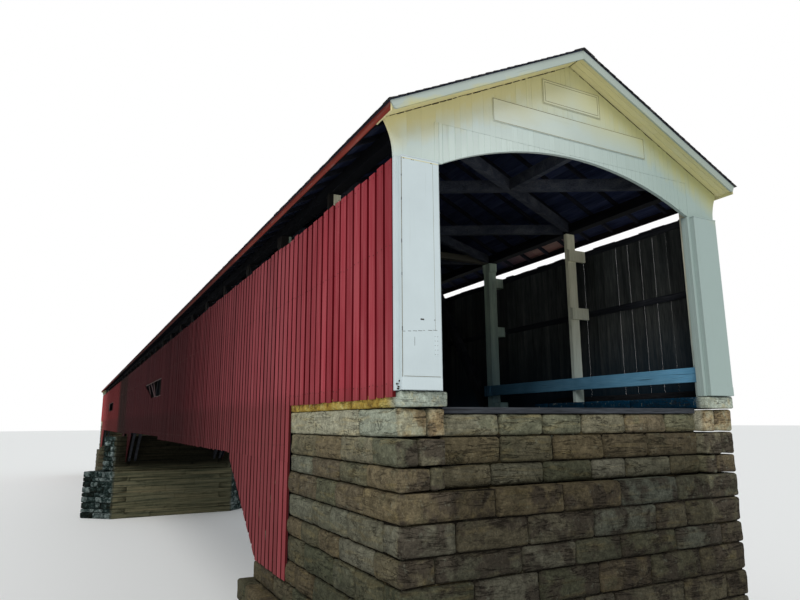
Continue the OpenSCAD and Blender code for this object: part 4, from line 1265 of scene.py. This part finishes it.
def nails():
    """Nail heads in pairs on the wall boards, over the rails behind them."""
    m = Mesh(91)
    r = 0.75 * MM
    for place in (KEEP_PLACE, MIRROR_Y):
        for side in (-1, 1):
            width, count, pitch = board_row(side)
            for k in range(count):
                y = -END + 6 * MM + k * pitch
                low = CAP + 8 * MM if y < WING_END else 552 * MM
                top = SPRING + (22 * MM if side > 0 else 0)
                for z in (low, 813 * MM, top - 8 * MM):
                    for dy in (width / 2 - 6 * MM, width / 2 + 6 * MM):
                        zz = z + m.rng.uniform(-1.6, 1.6) * MM
                        yy = y + dy + m.rng.uniform(-1, 1) * MM
                        x0, x1 = WALL_OUT - 0.8 * MM, WALL_OUT + 0.15 * MM
                        head = [(yy + r * math.cos(t), zz + r * math.sin(t)) for t in (i * math.pi / 2.5 for i in range(5))]
                        extrude(m, head, x0, x1, "YZ", 0, place=place @ (MIRROR_X if side < 0 else KEEP_PLACE))
    return m.build("wall_nails", [IRON], "red_paint")


def post_mat():
    """Post timber with painted light: light and cream near the portals where daylight falls, bluish low down, with
    painted shade further in and on the left posts' outer part.
    """
    s = Shader("post_timber_painted_light", 0.9, 0.05)
    g = s.grain("Z")
    x, y, z = s.place()
    fibres = s.noise(s.scaled(g, (9, 170, 170)), 4.0, 5.0, 0.65, 0.3)
    bands = s.noise(s.scaled(g, (2.2, 30, 30)), 2.0, 3.0, 0.5, 0.6)
    tone = s.span(s.math("ADD", s.math("MULTIPLY", fibres, 0.5), s.math("MULTIPLY", bands, 0.5)), 0.34, 0.66)
    inner = s.ramp(tone, [(0.0, lin(138, 152, 138)), (0.5, lin(176, 194, 174)), (1.0, lin(204, 218, 196))])
    outer = s.ramp(tone, [(0.0, lin(206, 202, 170)), (0.5, lin(236, 232, 202)), (1.0, lin(248, 245, 222))])
    deep = s.ramp(tone, [(0.0, lin(36, 38, 42)), (0.5, lin(56, 58, 63)), (1.0, lin(80, 80, 84))])
    along = s.math("ABSOLUTE", y)
    # Painted daylight on the posts near the portals
    colour = s.mix(s.span(along, 3.55, 3.62), inner, outer)
    # Painted sky light, bluish, low on the posts
    colour = s.mix(s.span(z, 0.86, 0.66, 0.0, 0.45), colour, s.mix(s.span(along, 3.55, 3.62), lin(84, 142, 172), lin(150, 196, 220)))
    # Painted shade further in
    colour = s.mix(s.span(along, 3.25, 3.15), colour, deep)
    # Painted shade on the outer part of the left posts
    edge = s.math("SUBTRACT", x, s.span(along, 3.55, 3.62, -0.265, -0.273))
    colour = s.mix(s.span(edge, 0.0, -0.001), colour, lin(38, 36, 34))
    return s.finish(colour, fibres, 0.4 * MM)


def tie_lit_look(s, colour, x, y, z):
    """Painted light on the right half of the outer tie beams: lighter and browner."""
    lit = s.math("MULTIPLY", s.span(x, -0.04, 0.02, 0.0, 0.8), s.span(s.math("ABSOLUTE", y), 3.2, 3.3))
    return s.mix(lit, colour, lin(90, 86, 72))


def dress_cad():
    """Node materials for the CAD nodes that stay."""
    # Weathered dark timber, darkened further as painted shade inside the bridge: deepest on the plates, bluish on the
    # rafters, lighter on the braces with painted light from below
    looks = {
        "dark": (lin(21, 22, 26), lin(36, 38, 43), lin(56, 57, 61)),
        "roof": (lin(20, 21, 27), lin(34, 35, 43), lin(50, 51, 59)),
        "plate": (lin(8, 9, 12), lin(14, 15, 19), lin(24, 25, 29)),
        "brace": (lin(32, 35, 44), lin(54, 58, 68), lin(80, 82, 86)),
        "tie": (lin(36, 39, 47), lin(60, 63, 72), lin(90, 91, 92)),
    }
    made = {}
    kinds = {
        "left_lower_chord": "dark Y", "right_lower_chord": "dark Y", "floor_beams": "dark X",
        "left_braces": "dark Z", "right_braces": "dark Z", "bearing_blocks": "dark Y",
        "near_left_arch": "dark Y", "near_right_arch": "dark Y", "far_left_arch": "dark Y",
        "far_right_arch": "dark Y", "girts": "dark Y", "curbs": "dark Y", "tie_beams": "tie X",
        "cross_braces": "brace X", "upper_chords": "plate Y", "rafter_plates": "plate Y",
        "left_rafters": "roof X", "right_rafters": "roof X",
    }
    for node, kind in kinds.items():
        if kind not in made:
            look, along = kind.split()
            made[kind] = timber(f"{look}_timber_{along}", *looks[look], along, look=tie_lit_look if look == "tie" else None)
        dress(node, made[kind])
    posts = post_mat()
    for node in ("left_posts", "right_posts", "girt_blocks"):
        dress(node, posts)


def dress(node, material):
    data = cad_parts[node].data
    data.materials.clear()
    data.materials.append(material)


def guards():
    """White planks at hand height in the portal bays, and the block at their inner end."""
    m = Mesh(101)
    z0 = CAP + 24 * MM
    y0, y1, block_y = -PORTAL_BACK, FIRST_POST + POST_HALF, FIRST_POST - POST_HALF
    inner = guard_hi.x
    for place in (KEEP_PLACE, MIRROR_Y, MIRROR_X, MIRROR_X @ MIRROR_Y):
        plank(m, (inner - 5 * MM, y0, z0), (inner, y1, z0 + 24 * MM), 1, 0.5 * MM, place=place)
        plank(m, (inner - 10 * MM, block_y, z0 - 2 * MM), (inner - 5 * MM, y1, z0 + 24 * MM), 2, 0.5 * MM, place=place)
    return m.build("white_guard_planks", [GUARD_WHITE_SKY_SHADE], "white_paint", ["guard_planks"])


# Build

abutment("near_abutment_stones", "near_abutment", 3, KEEP_PLACE)
abutment("far_abutment_stones", "far_abutment", 4, MIRROR_Y)
capstones()
pier()
trims = [
    siding("left_near_boards", "left_near_siding", -1, KEEP_PLACE, 11, (0, WINDOW), 330 * MM, 13 * MM),
    siding("right_near_boards", "right_near_siding", 1, KEEP_PLACE, 13, (0, WINDOW), WINDOW, 0),
    siding("left_far_boards", "left_far_siding", -1, MIRROR_Y, 15, (-WINDOW, 0), WINDOW, 0),
    siding("right_far_boards", "right_far_siding", 1, MIRROR_Y, 17, (-WINDOW, 0), WINDOW, 0),
]
for number, trim in enumerate(trims):
    trim.build(f"window_trim_{number + 1}", [PALE_WOOD, SLAT], "pale_timber")
skirt_boards()
nails()
gable("near_gable_boards", "near_gable", 21, KEEP_PLACE)
gable("far_gable_boards", "far_gable", 22, MIRROR_Y)
pilasters("near_pilaster_boxes", "near_pilasters", 23, KEEP_PLACE)
pilasters("far_pilaster_boxes", "far_pilasters", 24, MIRROR_Y)
rake("near_rake_trim", "near_rake_boards", 25, 1)
rake("far_rake_trim", "far_rake_boards", 26, -1)
soffit("near_soffit_boards", "near_soffit", 27, 1)
soffit("far_soffit_boards", "far_soffit", 28, -1)
signs()
shingles("left_shingles", "left_roof", 41, -1)
shingles("right_shingles", "right_roof", 42, 1)
ridge()
eaves()
floor_planks()
guards()
bolts()
dress_cad()


# Stage, light and camera


def stage():
    size = 60
    data = bpy.data.meshes.new("studio_floor")
    data.from_pydata([(-size, -size, 0), (size, -size, 0), (size, size, 0), (-size, size, 0)], [], [(0, 1, 2, 3)])
    floor = bpy.data.objects.new("studio_floor", data)
    bpy.context.scene.collection.objects.link(floor)
    s = Shader("studio_floor", 0.9, 0.1)
    data.materials.append(s.finish(lin(240, 240, 239)))

    world = bpy.data.worlds.new("studio")
    bpy.context.scene.world = world
    world.use_nodes = True
    tree = world.node_tree
    tree.nodes.clear()
    path = tree.nodes.new("ShaderNodeLightPath")
    light, shown, mix = (
        tree.nodes.new("ShaderNodeBackground"),
        tree.nodes.new("ShaderNodeBackground"),
        tree.nodes.new("ShaderNodeMixShader"),
    )
    light.inputs["Color"].default_value = (0.93, 0.97, 1.0, 1)
    light.inputs["Strength"].default_value = 0.62
    shown.inputs["Color"].default_value = (1, 1, 1, 1)
    shown.inputs["Strength"].default_value = 1.0
    out = tree.nodes.new("ShaderNodeOutputWorld")
    tree.links.new(path.outputs["Is Camera Ray"], mix.inputs[0])
    tree.links.new(light.outputs[0], mix.inputs[1])
    tree.links.new(shown.outputs[0], mix.inputs[2])
    tree.links.new(mix.outputs[0], out.inputs["Surface"])

    sun = bpy.data.lights.new("soft_key", "SUN")
    sun.energy = 1.5
    sun.angle = math.radians(35)
    sun.color = (1.0, 0.985, 0.95)
    key = bpy.data.objects.new("soft_key", sun)
    key.rotation_euler = Vector((0.75, 0.95, -1.05)).to_track_quat("-Z", "Y").to_euler()
    bpy.context.scene.collection.objects.link(key)


def camera():
    yaw, pitch, roll = 0.4799, 0.1923, -0.0068
    forward = Vector((math.sin(yaw) * math.cos(pitch), math.cos(yaw) * math.cos(pitch), math.sin(pitch)))
    right = Vector((math.cos(yaw), -math.sin(yaw), 0))
    up = right.cross(forward)
    r = right * math.cos(roll) + up * math.sin(roll)
    u = -right * math.sin(roll) + up * math.cos(roll)
    data = bpy.data.cameras.new("camera")
    data.sensor_width = 36
    data.lens = 36 * 625.04 / 800
    data.clip_start = 0.01
    data.clip_end = 200
    o = bpy.data.objects.new("camera", data)
    o.matrix_world = Matrix(
        (
            (r.x, u.x, -forward.x, -0.6533),
            (r.y, u.y, -forward.y, -4.6717),
            (r.z, u.z, -forward.z, 0.5931),
            (0, 0, 0, 1),
        )
    )
    bpy.context.scene.collection.objects.link(o)
    bpy.context.scene.camera = o


stage()
camera()
bpy.context.scene.view_settings.view_transform = "Standard"
